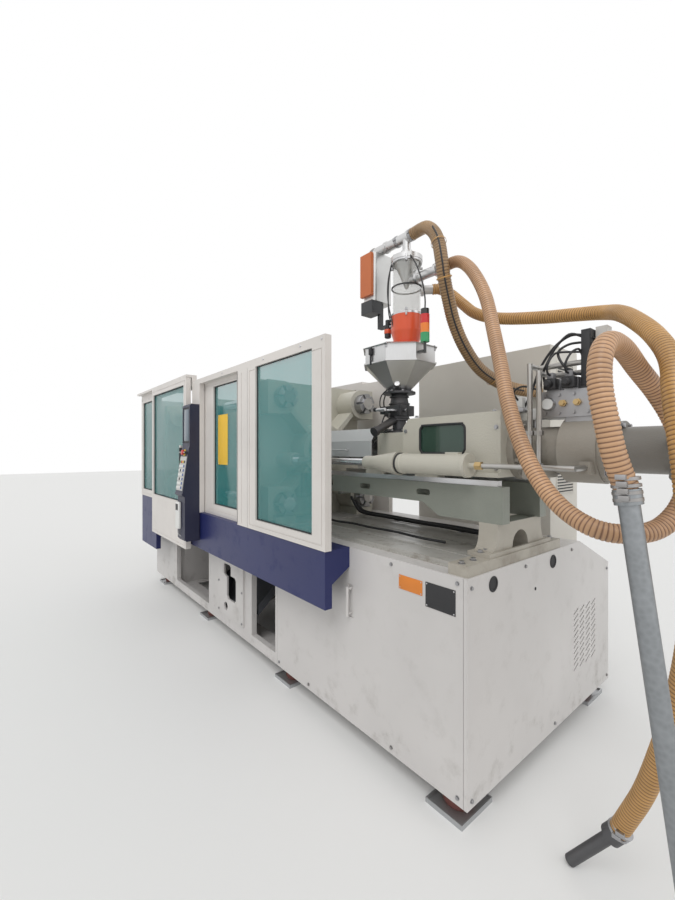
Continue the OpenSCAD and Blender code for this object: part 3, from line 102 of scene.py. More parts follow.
def route_length(route):
    return sum((b - a).length for a, b in zip(route, route[1:]))


print("the drawing's origin stands at", tuple(at(0, 0, 0)))

# %% Node tree helpers
def put_in_scene(name, data):
    """A new object at the origin that shows the data."""
    made = bpy.data.objects.new(name, data)
    bpy.context.scene.collection.objects.link(made)
    return made


def join_group(obj):
    """The object's evaluated shape as a plain mesh, with its modifiers gone."""
    shape = bpy.data.meshes.new_from_object(obj.evaluated_get(bpy.context.evaluated_depsgraph_get()))
    name = obj.name
    bpy.data.objects.remove(obj)
    return put_in_scene(name, shape)


def new_tree(name, sizes):
    """A node group with one geometry in and out, and named size inputs."""
    tree = bpy.data.node_groups.new(name, "GeometryNodeTree")
    tree.interface.new_socket("Geometry", in_out="INPUT", socket_type="NodeSocketGeometry")
    for size, (kind, value) in sizes.items():
        made = tree.interface.new_socket(size, in_out="INPUT", socket_type="NodeSocket" + kind)
        if value is not None:
            made.default_value = value
    tree.interface.new_socket("Geometry", in_out="OUTPUT", socket_type="NodeSocketGeometry")
    return tree


def add(tree, kind, settings=None, inputs=None):
    """One node, with its settings made first and its sockets filled or linked after."""
    made = tree.nodes.new(kind)
    for key, value in (settings or {}).items():
        setattr(made, key, value)
    for key, value in (inputs or {}).items():
        if isinstance(value, bpy.types.NodeSocket):
            tree.links.new(value, made.inputs[key])
        else:
            made.inputs[key].default_value = value
    return made


def maths(tree, operation, first, second):
    """A Math node's output, for arithmetic in a node group."""
    return add(tree, "ShaderNodeMath", {"operation": operation}, {0: first, 1: second}).outputs[0]


def finish_tree(tree, shape, finish):
    """Gives the shape its material and sends it out of the node group."""
    coat = add(tree, "GeometryNodeSetMaterial", {}, {"Geometry": shape, "Material": finish})
    add(tree, "NodeGroupOutput", {}, {0: coat.outputs[0]})
    return tree


def grow(obj, tree, **sizes):
    """Runs the node group on the object with these sizes and returns the plain mesh."""
    grown = obj.modifiers.new("grown", "NODES")
    grown.node_group = tree
    for item in tree.interface.items_tree:
        if item.item_type == "SOCKET" and item.in_out == "INPUT" and item.name in sizes:
            grown[item.identifier] = sizes[item.name]
    return join_group(obj)


print("tree helpers:", new_tree.__name__, add.__name__, grow.__name__)

# %% [markdown]
# ## Hoses
# Three ribbed hoses hang from the vacuum loader. A hose is a tube round a smooth line,
# so the route's points are rounded into one line first. The ribs of such a hose are
# a spiral bead, and at this distance rings of the same pitch look alike. Rings could
# be instanced, but a tube whose radius swells and shrinks along its line is lighter
# and has no hidden faces. Geometry Nodes draw it: resample the line, set its radius
# from the length along it, and sweep a circle along it. The line also stores which
# points lie between the ribs, so that the finish can paint shade into those hollows.

# %% Ribbed hose tree
knots_per_rib = 4
rib_pitch_share, rib_depth_share = 0.42, 0.075


def ribbed_hose_tree():
    tree = new_tree("ribbed_hose", {"Radius": ("Float", 0.03), "Pitch": ("Float", 0.012),
                                    "Depth": ("Float", 0.002), "Finish": ("Material", None)})
    into = add(tree, "NodeGroupInput").outputs
    line = add(tree, "GeometryNodeResampleCurve", {"mode": "LENGTH"},
               {"Curve": into["Geometry"], "Length": maths(tree, "DIVIDE", into["Pitch"], knots_per_rib)})
    index = add(tree, "GeometryNodeInputIndex").outputs[0]
    low = maths(tree, "GREATER_THAN", maths(tree, "MODULO", index, knots_per_rib), knots_per_rib - 1.5)
    radius = maths(tree, "SUBTRACT", into["Radius"], maths(tree, "MULTIPLY", low, into["Depth"]))
    # the flag of the points between the ribs is stored for the finish, which paints shade there
    marked = add(tree, "GeometryNodeStoreNamedAttribute", {"data_type": "FLOAT", "domain": "POINT"},
                 {"Geometry": line.outputs[0], "Name": "valley", "Value": low})
    ring = add(tree, "GeometryNodeCurvePrimitiveCircle", {}, {"Resolution": 20, "Radius": 1.0})
    tube = add(tree, "GeometryNodeCurveToMesh", {},
               {"Curve": marked.outputs[0], "Scale": radius, "Profile Curve": ring.outputs[0],
                "Fill Caps": True})
    shade = add(tree, "GeometryNodeSetShadeSmooth", {}, {"Geometry": tube.outputs[0], "Shade Smooth": True})
    return finish_tree(tree, shade.outputs[0], into["Finish"])


hose_tree = ribbed_hose_tree()


def ribbed_hose(name, points, radius, finish):
    """A ribbed hose along the rounded route, and the route's points."""
    route = smooth_route([at(*p) for p in points], 6)
    line = bpy.data.curves.new(name, "CURVE")
    line.dimensions = "3D"
    spline = line.splines.new("POLY")
    spline.points.add(len(route) - 1)
    for knot, place in zip(spline.points, route):
        knot.co = (*place, 1)
    hose = grow(put_in_scene(name, line), hose_tree, Radius=radius, Finish=finish,
                Pitch=radius * rib_pitch_share, Depth=radius * rib_depth_share)
    return hose, route


print("hose tree ready:", hose_tree.name)

# %% [markdown]
# ## A small language for finishes
# A material is a graph of nodes, and most of its maths is plain arithmetic. Wrapping
# a socket in a class that overloads `+`, `-`, `*` and `/` lets that maths be read as
# an expression. Every other node comes from one method, which makes the node's
# settings first and then fills its sockets with numbers, colours or links. All
# patterns read Object coordinates: each piece's object sits at the origin, so those
# are the machine's own metres, and a pattern's size is a real size.

# %% Arithmetic on sockets
class Wire:
    """A value in a material, on which arithmetic adds Math nodes."""

    def __init__(self, finish, socket):
        self.finish = finish
        self.socket = socket

    def maths(self, operation, *values):
        return self.finish.node("ShaderNodeMath", {"operation": operation}, dict(enumerate(values)))

    def __add__(self, other):
        return self.maths("ADD", self, other)

    def __radd__(self, other):
        return self.maths("ADD", other, self)

    def __sub__(self, other):
        return self.maths("SUBTRACT", self, other)

    def __rsub__(self, other):
        return self.maths("SUBTRACT", other, self)

    def __mul__(self, other):
        return self.maths("MULTIPLY", self, other)

    def __rmul__(self, other):
        return self.maths("MULTIPLY", other, self)

    def __truediv__(self, other):
        return self.maths("DIVIDE", self, other)

    def over(self, limit):
        return self.maths("GREATER_THAN", self, limit)


print("sockets add Math nodes for + - * /")

# %% Finish maker
class Finish:
    """A material built round one Principled shader."""

    def __init__(self, name, colour, roughness, metallic=0.0, **fixed):
        self.material = bpy.data.materials.new(name)
        self.material.use_nodes = True
        self.tree = self.material.node_tree
        self.tree.nodes.clear()
        self.shader = self.tree.nodes.new("ShaderNodeBsdfPrincipled")
        output = self.tree.nodes.new("ShaderNodeOutputMaterial")
        self.tree.links.new(self.shader.outputs[0], output.inputs["Surface"])
        self.put("Base Color", colour)
        self.put("Roughness", roughness)
        self.put("Metallic", metallic)
        for key, value in fixed.items():
            self.put(key.replace("_", " "), value)
        self.coordinates = None

    def fill(self, socket, value):
        if isinstance(value, Wire):
            self.tree.links.new(value.socket, socket)
        elif hasattr(value, "__len__") and len(value) == 3 and len(socket.default_value) == 4:
            socket.default_value = (*value, 1.0)
        else:
            socket.default_value = value

    def put(self, name, value):
        self.fill(self.shader.inputs[name], value)

    def node(self, kind, settings=None, inputs=None, out=0):
        made = self.tree.nodes.new(kind)
        for key, value in (settings or {}).items():
            if key == "stops":
                ramp = made.color_ramp
                while len(ramp.elements) < len(value):
                    ramp.elements.new(0.5)
                for element, (position, colour) in zip(ramp.elements, value):
                    element.position = position
                    element.color = (*colour, 1.0)
            else:
                setattr(made, key, value)
        for key, value in (inputs or {}).items():
            self.fill(made.inputs[key], value)
        return Wire(self, made.outputs[out])

    def place(self):
        if self.coordinates is None:
            self.coordinates = self.node("ShaderNodeTexCoord", out="Object")
        return self.coordinates

    def axes(self):
        split = self.node("ShaderNodeSeparateXYZ", inputs={0: self.place()})
        return [Wire(self, split.socket.node.outputs[i]) for i in range(3)]

    def noise(self, scale, detail=2.0, stretch=(1, 1, 1), roughness=0.5):
        spread = self.node("ShaderNodeMapping", inputs={"Vector": self.place(), "Scale": stretch})
        return self.node("ShaderNodeTexNoise", inputs={"Vector": spread, "Scale": scale,
                                                       "Detail": detail, "Roughness": roughness})

    def ramp(self, value, low, high):
        """0 under low, 1 over high, and a smooth run between."""
        return self.node("ShaderNodeMapRange", {"interpolation_type": "SMOOTHSTEP"},
                         {"Value": value, "From Min": low, "From Max": high})

    def mix(self, share, first, second):
        return self.node("ShaderNodeMix", {"data_type": "RGBA"}, {0: share, 6: first, 7: second}, out=2)

    def bump(self, height, distance, strength=1.0):
        self.put("Normal", self.node("ShaderNodeBump", inputs={"Height": height, "Distance": distance,
                                                               "Strength": strength}))


print("a finish starts from", Finish.__doc__)

# %% [markdown]
# ## Paint
# Sprayed machine paint has a faint orange peel that only its gloss shows, and soft
# handling marks. Dust and oil settle low down, so the dirt is driven by height as
# well as by noise. Castings are painted thickly over a rough skin: the same recipe
# with a deeper, coarser bump.

# %% Paint finishes
def tint(colour, amount):
    return tuple(min(1.0, c * amount) for c in colour)


def paint(name, colour, roughness=0.38, peel=0.00012, peel_scale=420, dirt=0.35, dirt_top=0.45,
          dirt_colour=(0.20, 0.18, 0.15)):
    made = Finish(name, colour, roughness, Coat_Weight=0.15, Coat_Roughness=0.25)
    z = made.axes()[2]
    broad = made.noise(1.6, 3.0)
    fine = made.noise(9.0, 5.0, roughness=0.65)
    shade = made.mix(made.ramp(broad, 0.3, 0.7), tint(colour, 0.94), tint(colour, 1.03))
    low = made.ramp(z + 0.25 * broad, dirt_top, 0.1)
    smudge = made.ramp(fine, 0.50, 0.78)
    grime = (low * 0.55 + 0.12) * smudge * dirt
    made.put("Base Color", made.mix(grime, shade, dirt_colour))
    made.put("Roughness", roughness + 0.18 * smudge + grime * 0.3)
    made.bump(made.noise(peel_scale, 1.0), peel)
    return made.material


guard_white = paint("guard_white", (0.70, 0.665, 0.63), 0.42, dirt=0.45)
bed_white = paint("bed_white", (0.60, 0.58, 0.565), 0.42, dirt=0.85, dirt_top=0.6)
deep_blue = paint("deep_blue", (0.010, 0.016, 0.098), 0.42, dirt=0.3, dirt_colour=(0.04, 0.045, 0.08))
column_blue = paint("column_blue", (0.016, 0.018, 0.045), 0.48, dirt=0.3, dirt_colour=(0.05, 0.05, 0.06))
cast_beige = paint("cast_beige", (0.52, 0.50, 0.43), 0.5, peel=0.0012, peel_scale=130, dirt=0.8,
                   dirt_top=1.4)
cast_grey = paint("cast_grey", (0.30, 0.275, 0.235), 0.5, peel=0.0010, peel_scale=130, dirt=0.9,
                  dirt_top=1.6)
motor_grey = paint("motor_grey", (0.20, 0.19, 0.17), 0.5, peel=0.0008, peel_scale=150, dirt=0.8,
                   dirt_top=1.6)
tray_grey = paint("tray_grey", (0.44, 0.43, 0.40), 0.36, dirt=1.2, dirt_top=3.0,
                  dirt_colour=(0.16, 0.12, 0.08))
cabinet_beige = paint("cabinet_beige", (0.60, 0.575, 0.52), 0.5, peel=0.0003, peel_scale=700, dirt=0.3)
dark_grey = paint("dark_grey", (0.07, 0.075, 0.085), 0.45, peel=0.0004, peel_scale=300, dirt=0.4,
                  dirt_colour=(0.18, 0.17, 0.16))
light_grey = paint("light_grey", (0.52, 0.53, 0.53), 0.45, dirt=0.4)
loader_orange = paint("loader_orange", (0.72, 0.10, 0.035), 0.32, dirt=0.3)
print("paints:", guard_white.name, bed_white.name, deep_blue.name, cast_beige.name)

# %% [markdown]
# ## Metal
# Rolled and ground metal is streaked one way by the grit that finished it. A noise
# that is stretched along that way, and drives roughness more than colour, gives the
# streaks. Chrome stays clean, and machined steel carries a brown film of oil.

# %% Metal finishes
def steel(name, colour, roughness, stretch=(1, 40, 40), streak=0.12, film=0.25, oil=(0.22, 0.17, 0.11)):
    made = Finish(name, colour, roughness, 1.0)
    lines = made.noise(30, 3.0, stretch)
    cloud = made.noise(5.0, 4.0)
    worn = made.ramp(cloud, 0.45, 0.75)
    metal = made.mix(lines, tint(colour, 0.88), tint(colour, 1.08))
    made.put("Base Color", made.mix(worn * film, metal, oil))
    made.put("Roughness", roughness - streak / 2 + streak * lines + 0.15 * film * worn)
    made.bump(lines, 0.00008)
    return made.material


bright_steel = steel("bright_steel", (0.62, 0.62, 0.63), 0.30)
machined_steel = steel("machined_steel", (0.40, 0.40, 0.41), 0.42, film=0.5)
pipe_steel = steel("pipe_steel", (0.48, 0.47, 0.45), 0.38, film=0.35)
sheet_steel = steel("sheet_steel", (0.66, 0.66, 0.66), 0.34, stretch=(25, 25, 1), film=0.1)
rod_chrome = steel("rod_chrome", (0.78, 0.78, 0.80), 0.12, streak=0.05, film=0.05)
galvanised = steel("galvanised", (0.50, 0.51, 0.52), 0.48, stretch=(6, 6, 2), film=0.15,
                   oil=(0.30, 0.30, 0.30))
nozzle_brass = steel("nozzle_brass", (0.55, 0.40, 0.20), 0.35, film=0.4, oil=(0.14, 0.10, 0.12))
black_iron = steel("black_iron", (0.10, 0.10, 0.105), 0.55, streak=0.1, film=0.3)
print("metals:", bright_steel.name, sheet_steel.name, galvanised.name)

# %% [markdown]
# ## Panes, plastics and rubber
# The guard panes are a sheet of blue-green plastic. A see-through material can be
# refracting glass, which is slow and noisy, or a glossy surface with part of its
# alpha taken away, which shows what is behind it and keeps the sheet's colour. The
# second way is used, with faint wiping marks in the roughness.

# %% Pane and plastic finishes
def pane(name, colour, alpha, roughness=0.07):
    made = Finish(name, colour, roughness, Coat_Weight=0.4, Coat_Roughness=0.05)
    wiped = made.noise(3.0, 4.0, (1, 1, 0.4))
    made.put("Alpha", alpha + 0.10 * wiped)
    made.put("Roughness", roughness + 0.10 * made.ramp(wiped, 0.45, 0.8))
    made.put("Base Color", made.mix(wiped, tint(colour, 0.85), tint(colour, 1.12)))
    return made.material


def plastic(name, colour, roughness, grain=0.0001, grain_scale=900):
    made = Finish(name, colour, roughness)
    cloud = made.noise(14, 4.0)
    made.put("Base Color", made.mix(cloud, tint(colour, 0.90), tint(colour, 1.08)))
    made.put("Roughness", roughness + 0.12 * made.ramp(cloud, 0.5, 0.8))
    made.bump(made.noise(grain_scale, 1.0), grain)
    return made.material


teal_pane = pane("teal_pane", (0.045, 0.29, 0.29), 0.42)
dark_pane = pane("dark_pane", (0.03, 0.07, 0.05), 0.86)
clear_tube = pane("clear_tube", (0.50, 0.50, 0.46), 0.14, 0.10)
pad_rubber = plastic("pad_rubber", (0.17, 0.06, 0.05), 0.75, 0.0005, 260)
black_rubber = plastic("black_rubber", (0.025, 0.025, 0.027), 0.7)
key_grey = plastic("key_grey", (0.55, 0.55, 0.53), 0.5)
label_white = plastic("label_white", (0.74, 0.74, 0.72), 0.45)
stop_red = plastic("stop_red", (0.55, 0.02, 0.02), 0.25)
notice_yellow = plastic("notice_yellow", (0.80, 0.50, 0.04), 0.5)
notice_orange = plastic("notice_orange", (0.70, 0.22, 0.03), 0.5)
sensor_white = plastic("sensor_white", (0.70, 0.70, 0.69), 0.4)
cable_black = plastic("cable_black", (0.02, 0.02, 0.022), 0.5)
cable_grey = plastic("cable_grey", (0.28, 0.28, 0.29), 0.5)


print("panes and plastics:", teal_pane.name, black_rubber.name)

# %% Hose finishes
def hose_finish(name, valley, crest, roughness=0.42):
    """Ribbed hose wall, slightly clear, with granules' dust inside and painted shade between the ribs."""
    made = Finish(name, crest, roughness, Coat_Weight=0.3, Coat_Roughness=0.3)
    blotch = made.noise(6.0, 4.0)
    fine = made.noise(60, 3.0)
    deep = made.node("ShaderNodeAttribute", {"attribute_type": "GEOMETRY", "attribute_name": "valley"},
                     out=2)
    wall = made.mix(made.ramp(blotch, 0.35, 0.7), tint(crest, 0.82), tint(crest, 1.08))
    # painted shade: the hollows between the ribs are mixed towards the dark first colour
    made.put("Base Color", made.mix(deep * 0.92, wall, valley))
    made.put("Roughness", roughness + 0.15 * fine)
    return made.material


# each hose's first colour is the painted shade between its ribs, the second is its wall
hose_tan = hose_finish("hose_tan", (0.10, 0.035, 0.012), (0.56, 0.33, 0.18))
hose_amber = hose_finish("hose_amber", (0.13, 0.05, 0.012), (0.56, 0.31, 0.10))
hose_brown = hose_finish("hose_brown", (0.10, 0.05, 0.02), (0.36, 0.22, 0.10))
print("hose walls:", hose_tan.name, hose_amber.name, hose_brown.name)

# %% [markdown]
# ## Signal tower and filter
# Some solids carry several colours, because they are one moulding or one box with
# painted parts. Cutting them apart would only make seams that the real piece lacks,
# so their finish picks its colour from the height or depth of the point instead.

# %% Tower and filter finishes
def tower_finish():
    """A black foot, green, amber and red lenses above each other, and a black lid."""
    lens_feet = ((2.089, (0.03, 0.32, 0.12)), (2.140, (0.85, 0.22, 0.02)),
                 (2.190, (0.62, 0.02, 0.02)), (2.2395, (0.02, 0.02, 0.02)))
    made = Finish("tower_lenses", (0.02, 0.02, 0.02), 0.25, Coat_Weight=0.4)
    z = made.axes()[2]
    colour = (0.03, 0.03, 0.03)
    for foot, lens in lens_feet:
        colour = made.mix(z.over(foot), colour, lens)
    made.put("Base Color", colour)
    made.bump(made.node("ShaderNodeTexWave", {"wave_type": "RINGS"},
                        {"Vector": made.place(), "Scale": 60.0}), 0.0002)
    return made.material


def filter_finish():
    """Orange cover at the front, steel housing, dark collecting box below."""
    cover_back, box_top = -0.2152, 2.4235
    made = Finish("filter_box", (0.5, 0.5, 0.5), 0.36)
    _, y, z = made.axes()
    cover = 1.0 - y.over(cover_back)
    box = 1.0 - z.over(box_top)
    cloud = made.noise(9.0, 4.0)
    metal = made.mix(cloud, (0.50, 0.50, 0.49), (0.64, 0.64, 0.63))
    colour = made.mix(cover, metal, made.mix(cloud, (0.50, 0.12, 0.035), (0.60, 0.17, 0.05)))
    made.put("Base Color", made.mix(box, colour, (0.035, 0.037, 0.04)))
    made.put("Metallic", (1.0 - cover) * (1.0 - box))
    made.put("Roughness", 0.30 + 0.14 * cloud)
    made.bump(cloud, 0.0004)
    return made.material


tower_lenses = tower_finish()
filter_box = filter_finish()
print("by height and depth:", tower_lenses.name, filter_box.name)

# %% Base and drive finishes
def base_finish():
    """Grey-green beams with an unpainted-looking beige foot."""
    foot_start, foot_top = 1.5315, 1.179
    made = Finish("base_casting", (0.3, 0.3, 0.3), 0.5, Coat_Weight=0.1, Coat_Roughness=0.3)
    x, _, z = made.axes()
    cloud = made.noise(5.0, 5.0, roughness=0.65)
    beam = made.mix(cloud, (0.20, 0.215, 0.185), (0.29, 0.305, 0.265))
    foot = made.mix(cloud, (0.36, 0.335, 0.285), (0.48, 0.45, 0.39))
    tone = made.mix(x.over(foot_start) * (1.0 - z.over(foot_top)), beam, foot)
    low = made.ramp(z, 1.16, 1.02) * made.ramp(cloud, 0.42, 0.7)
    made.put("Base Color", made.mix(low * 0.5, tone, (0.13, 0.10, 0.07)))
    made.put("Roughness", 0.46 + 0.2 * cloud)
    made.bump(made.noise(150, 2.0), 0.0009)
    return made.material


def drive_finish():
    """Black drive box and the white cable duct beside it."""
    duct_start = 1.948
    made = Finish("drive_box", (0.05, 0.05, 0.05), 0.42)
    x = made.axes()[0]
    cloud = made.noise(12.0, 4.0)
    box = made.mix(cloud, (0.018, 0.018, 0.02), (0.03, 0.03, 0.033))
    duct = made.mix(cloud, (0.58, 0.56, 0.53), (0.68, 0.66, 0.63))
    made.put("Base Color", made.mix(x.over(duct_start), box, duct))
    made.put("Roughness", 0.38 + 0.15 * cloud)
    made.bump(made.noise(500, 1.0), 0.0001)
    return made.material


base_casting = base_finish()
drive_box = drive_finish()
print("along the machine:", base_casting.name, drive_box.name)

# %% Lance finish
def lance_finish():
    """Spangled zinc on the long lance, darker steel on the short wand behind it."""
    behind_lance = -0.5
    made = Finish("lance_steel", (0.5, 0.5, 0.5), 0.48, 1.0)
    y = made.axes()[1]
    spangle = made.node("ShaderNodeTexVoronoi", {"feature": "F1"}, {"Vector": made.place(), "Scale": 70.0})
    cloud = made.noise(8.0, 4.0)
    zinc = made.mix(spangle, (0.27, 0.285, 0.295), (0.34, 0.355, 0.37))
    dark = made.mix(cloud, (0.10, 0.10, 0.105), (0.17, 0.17, 0.175))
    made.put("Base Color", made.mix(y.over(behind_lance), zinc, dark))
    made.put("Roughness", 0.40 + 0.22 * cloud)
    made.bump(spangle, 0.0002)
    return made.material


lance_steel = lance_finish()
print("across the machine:", lance_steel.name)

# %% [markdown]
# ## Building small pieces
# Most small pieces are a few rounded boxes, rods, tubes and turned shapes. BMesh
# lets one piece collect them all and keep its own finishes. A hard edge with no
# rounding catches no light and looks like a drawing, so each box has a small bevel,
# and faces are smoothed only where they meet at a shallow angle.

# %% Piece maker
def angles(count):
    return [2 * math.pi * k / count for k in range(count)]


class Piece:
    """One mesh object made of simple shapes, which rides on a CAD body."""

    def __init__(self, name, body, slot):
        self.name, self.body, self.slot = name, body, slot
        self.bm = bmesh.new()
        self.finishes = []

    def keep(self, faces, finish):
        if finish not in self.finishes:
            self.finishes.append(finish)
        for face in faces:
            face.material_index = self.finishes.index(finish)

    def box(self, low, high, finish, edge=0.002, steps=2):
        """A box between two drawing corners in millimetres."""
        a, b = at(*low), at(*high)
        made = bmesh.ops.create_cube(self.bm, size=1.0)
        corners = made["verts"]
        for v in corners:
            v.co = Vector([(a[i] + b[i]) / 2 + v.co[i] * (b[i] - a[i]) for i in range(3)])
        sides = {f for v in corners for f in v.link_faces}
        if edge > 0:
            size = min(abs(b[i] - a[i]) for i in range(3))
            edges = {e for v in corners for e in v.link_edges}
            cut = bmesh.ops.bevel(self.bm, geom=list(edges), offset=min(edge, size * 0.4),
                                  segments=steps, profile=0.5, affect="EDGES")
            sides = {f for v in cut["verts"] for f in v.link_faces}
        self.keep(sides, finish)

    def skin(self, loops, finish, hollow=False):
        """Faces between loops of points, capped at both ends or closed into a ring."""
        loops = [[self.bm.verts.new(place) for place in loop] for loop in loops]
        count = len(loops[0])
        faces = [self.bm.faces.new((one[k], one[(k + 1) % count], two[(k + 1) % count], two[k]))
                 for one, two in zip(loops, loops[1:] + loops[:1] if hollow else loops[1:])
                 for k in range(count)]
        if not hollow:
            faces += [self.bm.faces.new(loops[0][::-1]), self.bm.faces.new(loops[-1])]
        self.keep(faces, finish)

    def turned(self, start, end, profile, finish, sides=28, hollow=False):
        """A shape turned round the line from start to end: profile is (along mm, radius mm)."""
        a, b = at(*start), at(*end)
        turn = (b - a).to_track_quat("Z", "Y").to_matrix()
        circle = [turn @ Vector((math.cos(t), math.sin(t), 0)) / 1000 for t in angles(sides)]
        step = (b - a).normalized() / 1000
        self.skin([[a + step * along + spoke * radius for spoke in circle] for along, radius in profile],
                  finish, hollow)

    def band(self, start, end, run, inner, outer, finish, sides=28):
        """A flat ring round the line from start to end, over the run (from, to) along it."""
        profile = [(run[0], inner), (run[0], outer), (run[1], outer), (run[1], inner)]
        self.turned(start, end, profile, finish, sides, True)

    def shell(self, foot, top, finish):
        """A capped block between two loops of drawing points."""
        self.skin([[at(*p) for p in foot], [at(*p) for p in top]], finish)

    def cable(self, points, radius, finish, steps=6, sides=10):
        """A bent cable or pipe through drawing points."""
        route = smooth_route([at(*p) for p in points], steps)
        side = Vector((0.3, 0.2, 1)).normalized()
        loops = []
        for i, place in enumerate(route):
            along = (route[min(i + 1, len(route) - 1)] - route[max(i - 1, 0)]).normalized()
            side = (side - along * side.dot(along)).normalized()
            other = along.cross(side)
            loops.append([place + (side * math.cos(t) + other * math.sin(t)) * radius / 1000
                          for t in angles(sides)])
        self.skin(loops, finish)

    def done(self):
        bmesh.ops.recalc_face_normals(self.bm, faces=self.bm.faces)
        for face in self.bm.faces:
            face.smooth = True
        for edge in self.bm.edges:
            edge.smooth = len(edge.link_faces) == 2 and edge.calc_face_angle() < math.radians(38)
        mesh = bpy.data.meshes.new(self.name)
        self.bm.to_mesh(mesh)
        self.bm.free()
        for finish in self.finishes:
            mesh.materials.append(finish)
        made = put_in_scene(self.name, mesh)
        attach(made, self.body)
        print(self.name, len(mesh.polygons), "faces on", self.body)
        return made

# %% [markdown]
# ## Screws
# Hundreds of hexagon screws hold the covers, flanges and castings. They all have the
# same shape, so Geometry Nodes place one head with its washer at every point of a
# list and turn it to face along the wall's outward direction.

# %% Screw tree
def screw_tree():
    tree = new_tree("hexagon_screws", {"Radius": ("Float", 0.008), "Facing": ("Vector", (0, 0, 1)),
                                       "Finish": ("Material", None)})
    into = add(tree, "NodeGroupInput").outputs
    size = {share: maths(tree, "MULTIPLY", into["Radius"], share) for share in (0.75, 1.35, 0.2, 0.55)}
    head = add(tree, "GeometryNodeMeshCylinder", {},
               {"Vertices": 6, "Radius": into["Radius"], "Depth": size[0.75]})
    washer = add(tree, "GeometryNodeMeshCylinder", {},
                 {"Vertices": 18, "Radius": size[1.35], "Depth": size[0.2]})
    up = add(tree, "ShaderNodeCombineXYZ", {}, {2: size[0.55]})
    raised = add(tree, "GeometryNodeTransform", {},
                 {"Geometry": head.outputs["Mesh"], "Translation": up.outputs[0]})
    both = add(tree, "GeometryNodeJoinGeometry")
    tree.links.new(raised.outputs[0], both.inputs[0])
    tree.links.new(washer.outputs["Mesh"], both.inputs[0])
    turn = add(tree, "FunctionNodeAlignRotationToVector", {"axis": "Z"}, {"Vector": into["Facing"]})
    placed = add(tree, "GeometryNodeInstanceOnPoints", {},
                 {"Points": into["Geometry"], "Instance": both.outputs[0], "Rotation": turn.outputs[0]})
    real = add(tree, "GeometryNodeRealizeInstances", {}, {"Geometry": placed.outputs[0]})
    return finish_tree(tree, real.outputs[0], into["Finish"])


screws = screw_tree()


print("screw tree ready:", screws.name)

# %% Groups of screws
def dot_object(name, points):
    """An object that has only these points, in metres."""
    dots = bpy.data.meshes.new(name)
    dots.from_pydata([tuple(p) for p in points], [], [])
    return put_in_scene(name, dots)


def screw_group(name, groups, body, finish):
    """Screws of one body: groups are (facing, radius mm, drawing points)."""
    whole = bmesh.new()
    for i, (facing, radius, points) in enumerate(groups):
        part = grow(dot_object(f"{name}_{i}", [at(*p) for p in points]), screws,
                    Radius=radius / 1000, Facing=Vector(facing), Finish=finish)
        whole.from_mesh(part.data)
        bpy.data.objects.remove(part)
    mesh = bpy.data.meshes.new(name)
    whole.to_mesh(mesh)
    whole.free()
    mesh.materials.append(finish)
    made = put_in_scene(name, mesh)
    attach(made, body)
    print(name, sum(len(g[2]) for g in groups), "screws on", body)
    return made


def ring(centre, radius, count, axis="x", turn=0.0):
    """Points round a circle, in drawing millimetres."""
    spokes = [(radius * math.cos(t + math.radians(turn)), radius * math.sin(t + math.radians(turn)))
              for t in angles(count)]
    across = {"x": lambda u, v: (0, u, v), "z": lambda u, v: (u, v, 0)}[axis]
    return [tuple(c + d for c, d in zip(centre, across(u, v))) for u, v in spokes]


print("a ring of four:", [[round(c, 1) for c in p] for p in ring((0, 0, 0), 10, 4)])

# %% [markdown]
# ## Dressing the CAD solids
# A solid whose shape is right keeps its mesh and only gets a finish. The table says
# which finish each solid wears; a solid that a finer piece will stand for is dressed
# too, so that nothing shows bare.

# %% Finish of each solid
finish_of = {
    "bed_frame": bed_white, "front_panels": bed_white, "end_panel": bed_white, "part_chute": dark_grey,
    "drip_tray": tray_grey, "mount_steel": galvanised, "mount_pads": pad_rubber,
    "front_skirts": deep_blue, "fixed_platen": cast_beige, "end_platen": cast_beige, "tie_bars": rod_chrome,
    "tie_bar_nuts": machined_steel, "clamp_cylinder": cast_beige, "slide_rails": bright_steel,
    "guard_frame": guard_white, "guard_panes": teal_pane, "rear_guard": guard_white,
    "control_housing": column_blue, "control_panel": key_grey, "stop_button": stop_red,
    "injection_base": base_casting, "carriage_rods": rod_chrome, "control_cabinet": cabinet_beige,
    "cabinet_door": cabinet_beige,
    "moving_platen": cast_beige, "clamp_ram": rod_chrome, "ejector_cylinder": machined_steel,
    "ejector_plate": bright_steel, "front_door_frame": guard_white, "front_door_pane": teal_pane,
    "clamp_door_frame": guard_white, "clamp_door_pane": teal_pane, "rear_door_frame": guard_white,
    "rear_door_pane": teal_pane, "carriage": cast_beige, "carriage_windows": dark_pane,
    "barrel": machined_steel, "heater_bands": sheet_steel, "nozzle": nozzle_brass,
    "carriage_cylinders": cast_beige, "injection_cylinder": cast_grey, "screw_motor": motor_grey,
    "valve_block": machined_steel, "servo_drive": drive_box, "oil_pipes": pipe_steel, "screw": bright_steel,
    "injection_ram": bright_steel, "barrel_guard": light_grey, "feed_throat": black_iron,
    "gate_slide": bright_steel, "hopper": sheet_steel, "loader_base": loader_orange,
    "loader_glass": clear_tube, "loader_head": sheet_steel, "filter_housing": filter_box,
    "signal_tower": tower_lenses,
    "hose_material": hose_tan, "hose_vacuum": hose_brown, "hose_supply": hose_amber,
    "suction_lance": lance_steel,
}
for name, solid in nodes.items():
    solid.data.materials.clear()
    solid.data.materials.append(finish_of[name])
print("dressed", len(finish_of), "solids")

# %% [markdown]
# ## Hanging the hoses
# The routes are the CAD solids' own. The vacuum hose goes back into the machine, at
# the cabinet. The material hose ends in the long steel lance that stands on the
# floor, and the supply hose in a short wand whose rim rests on the floor. Both pipes
# keep their CAD shape. Their hose clamps are turned bands with a screw box each.

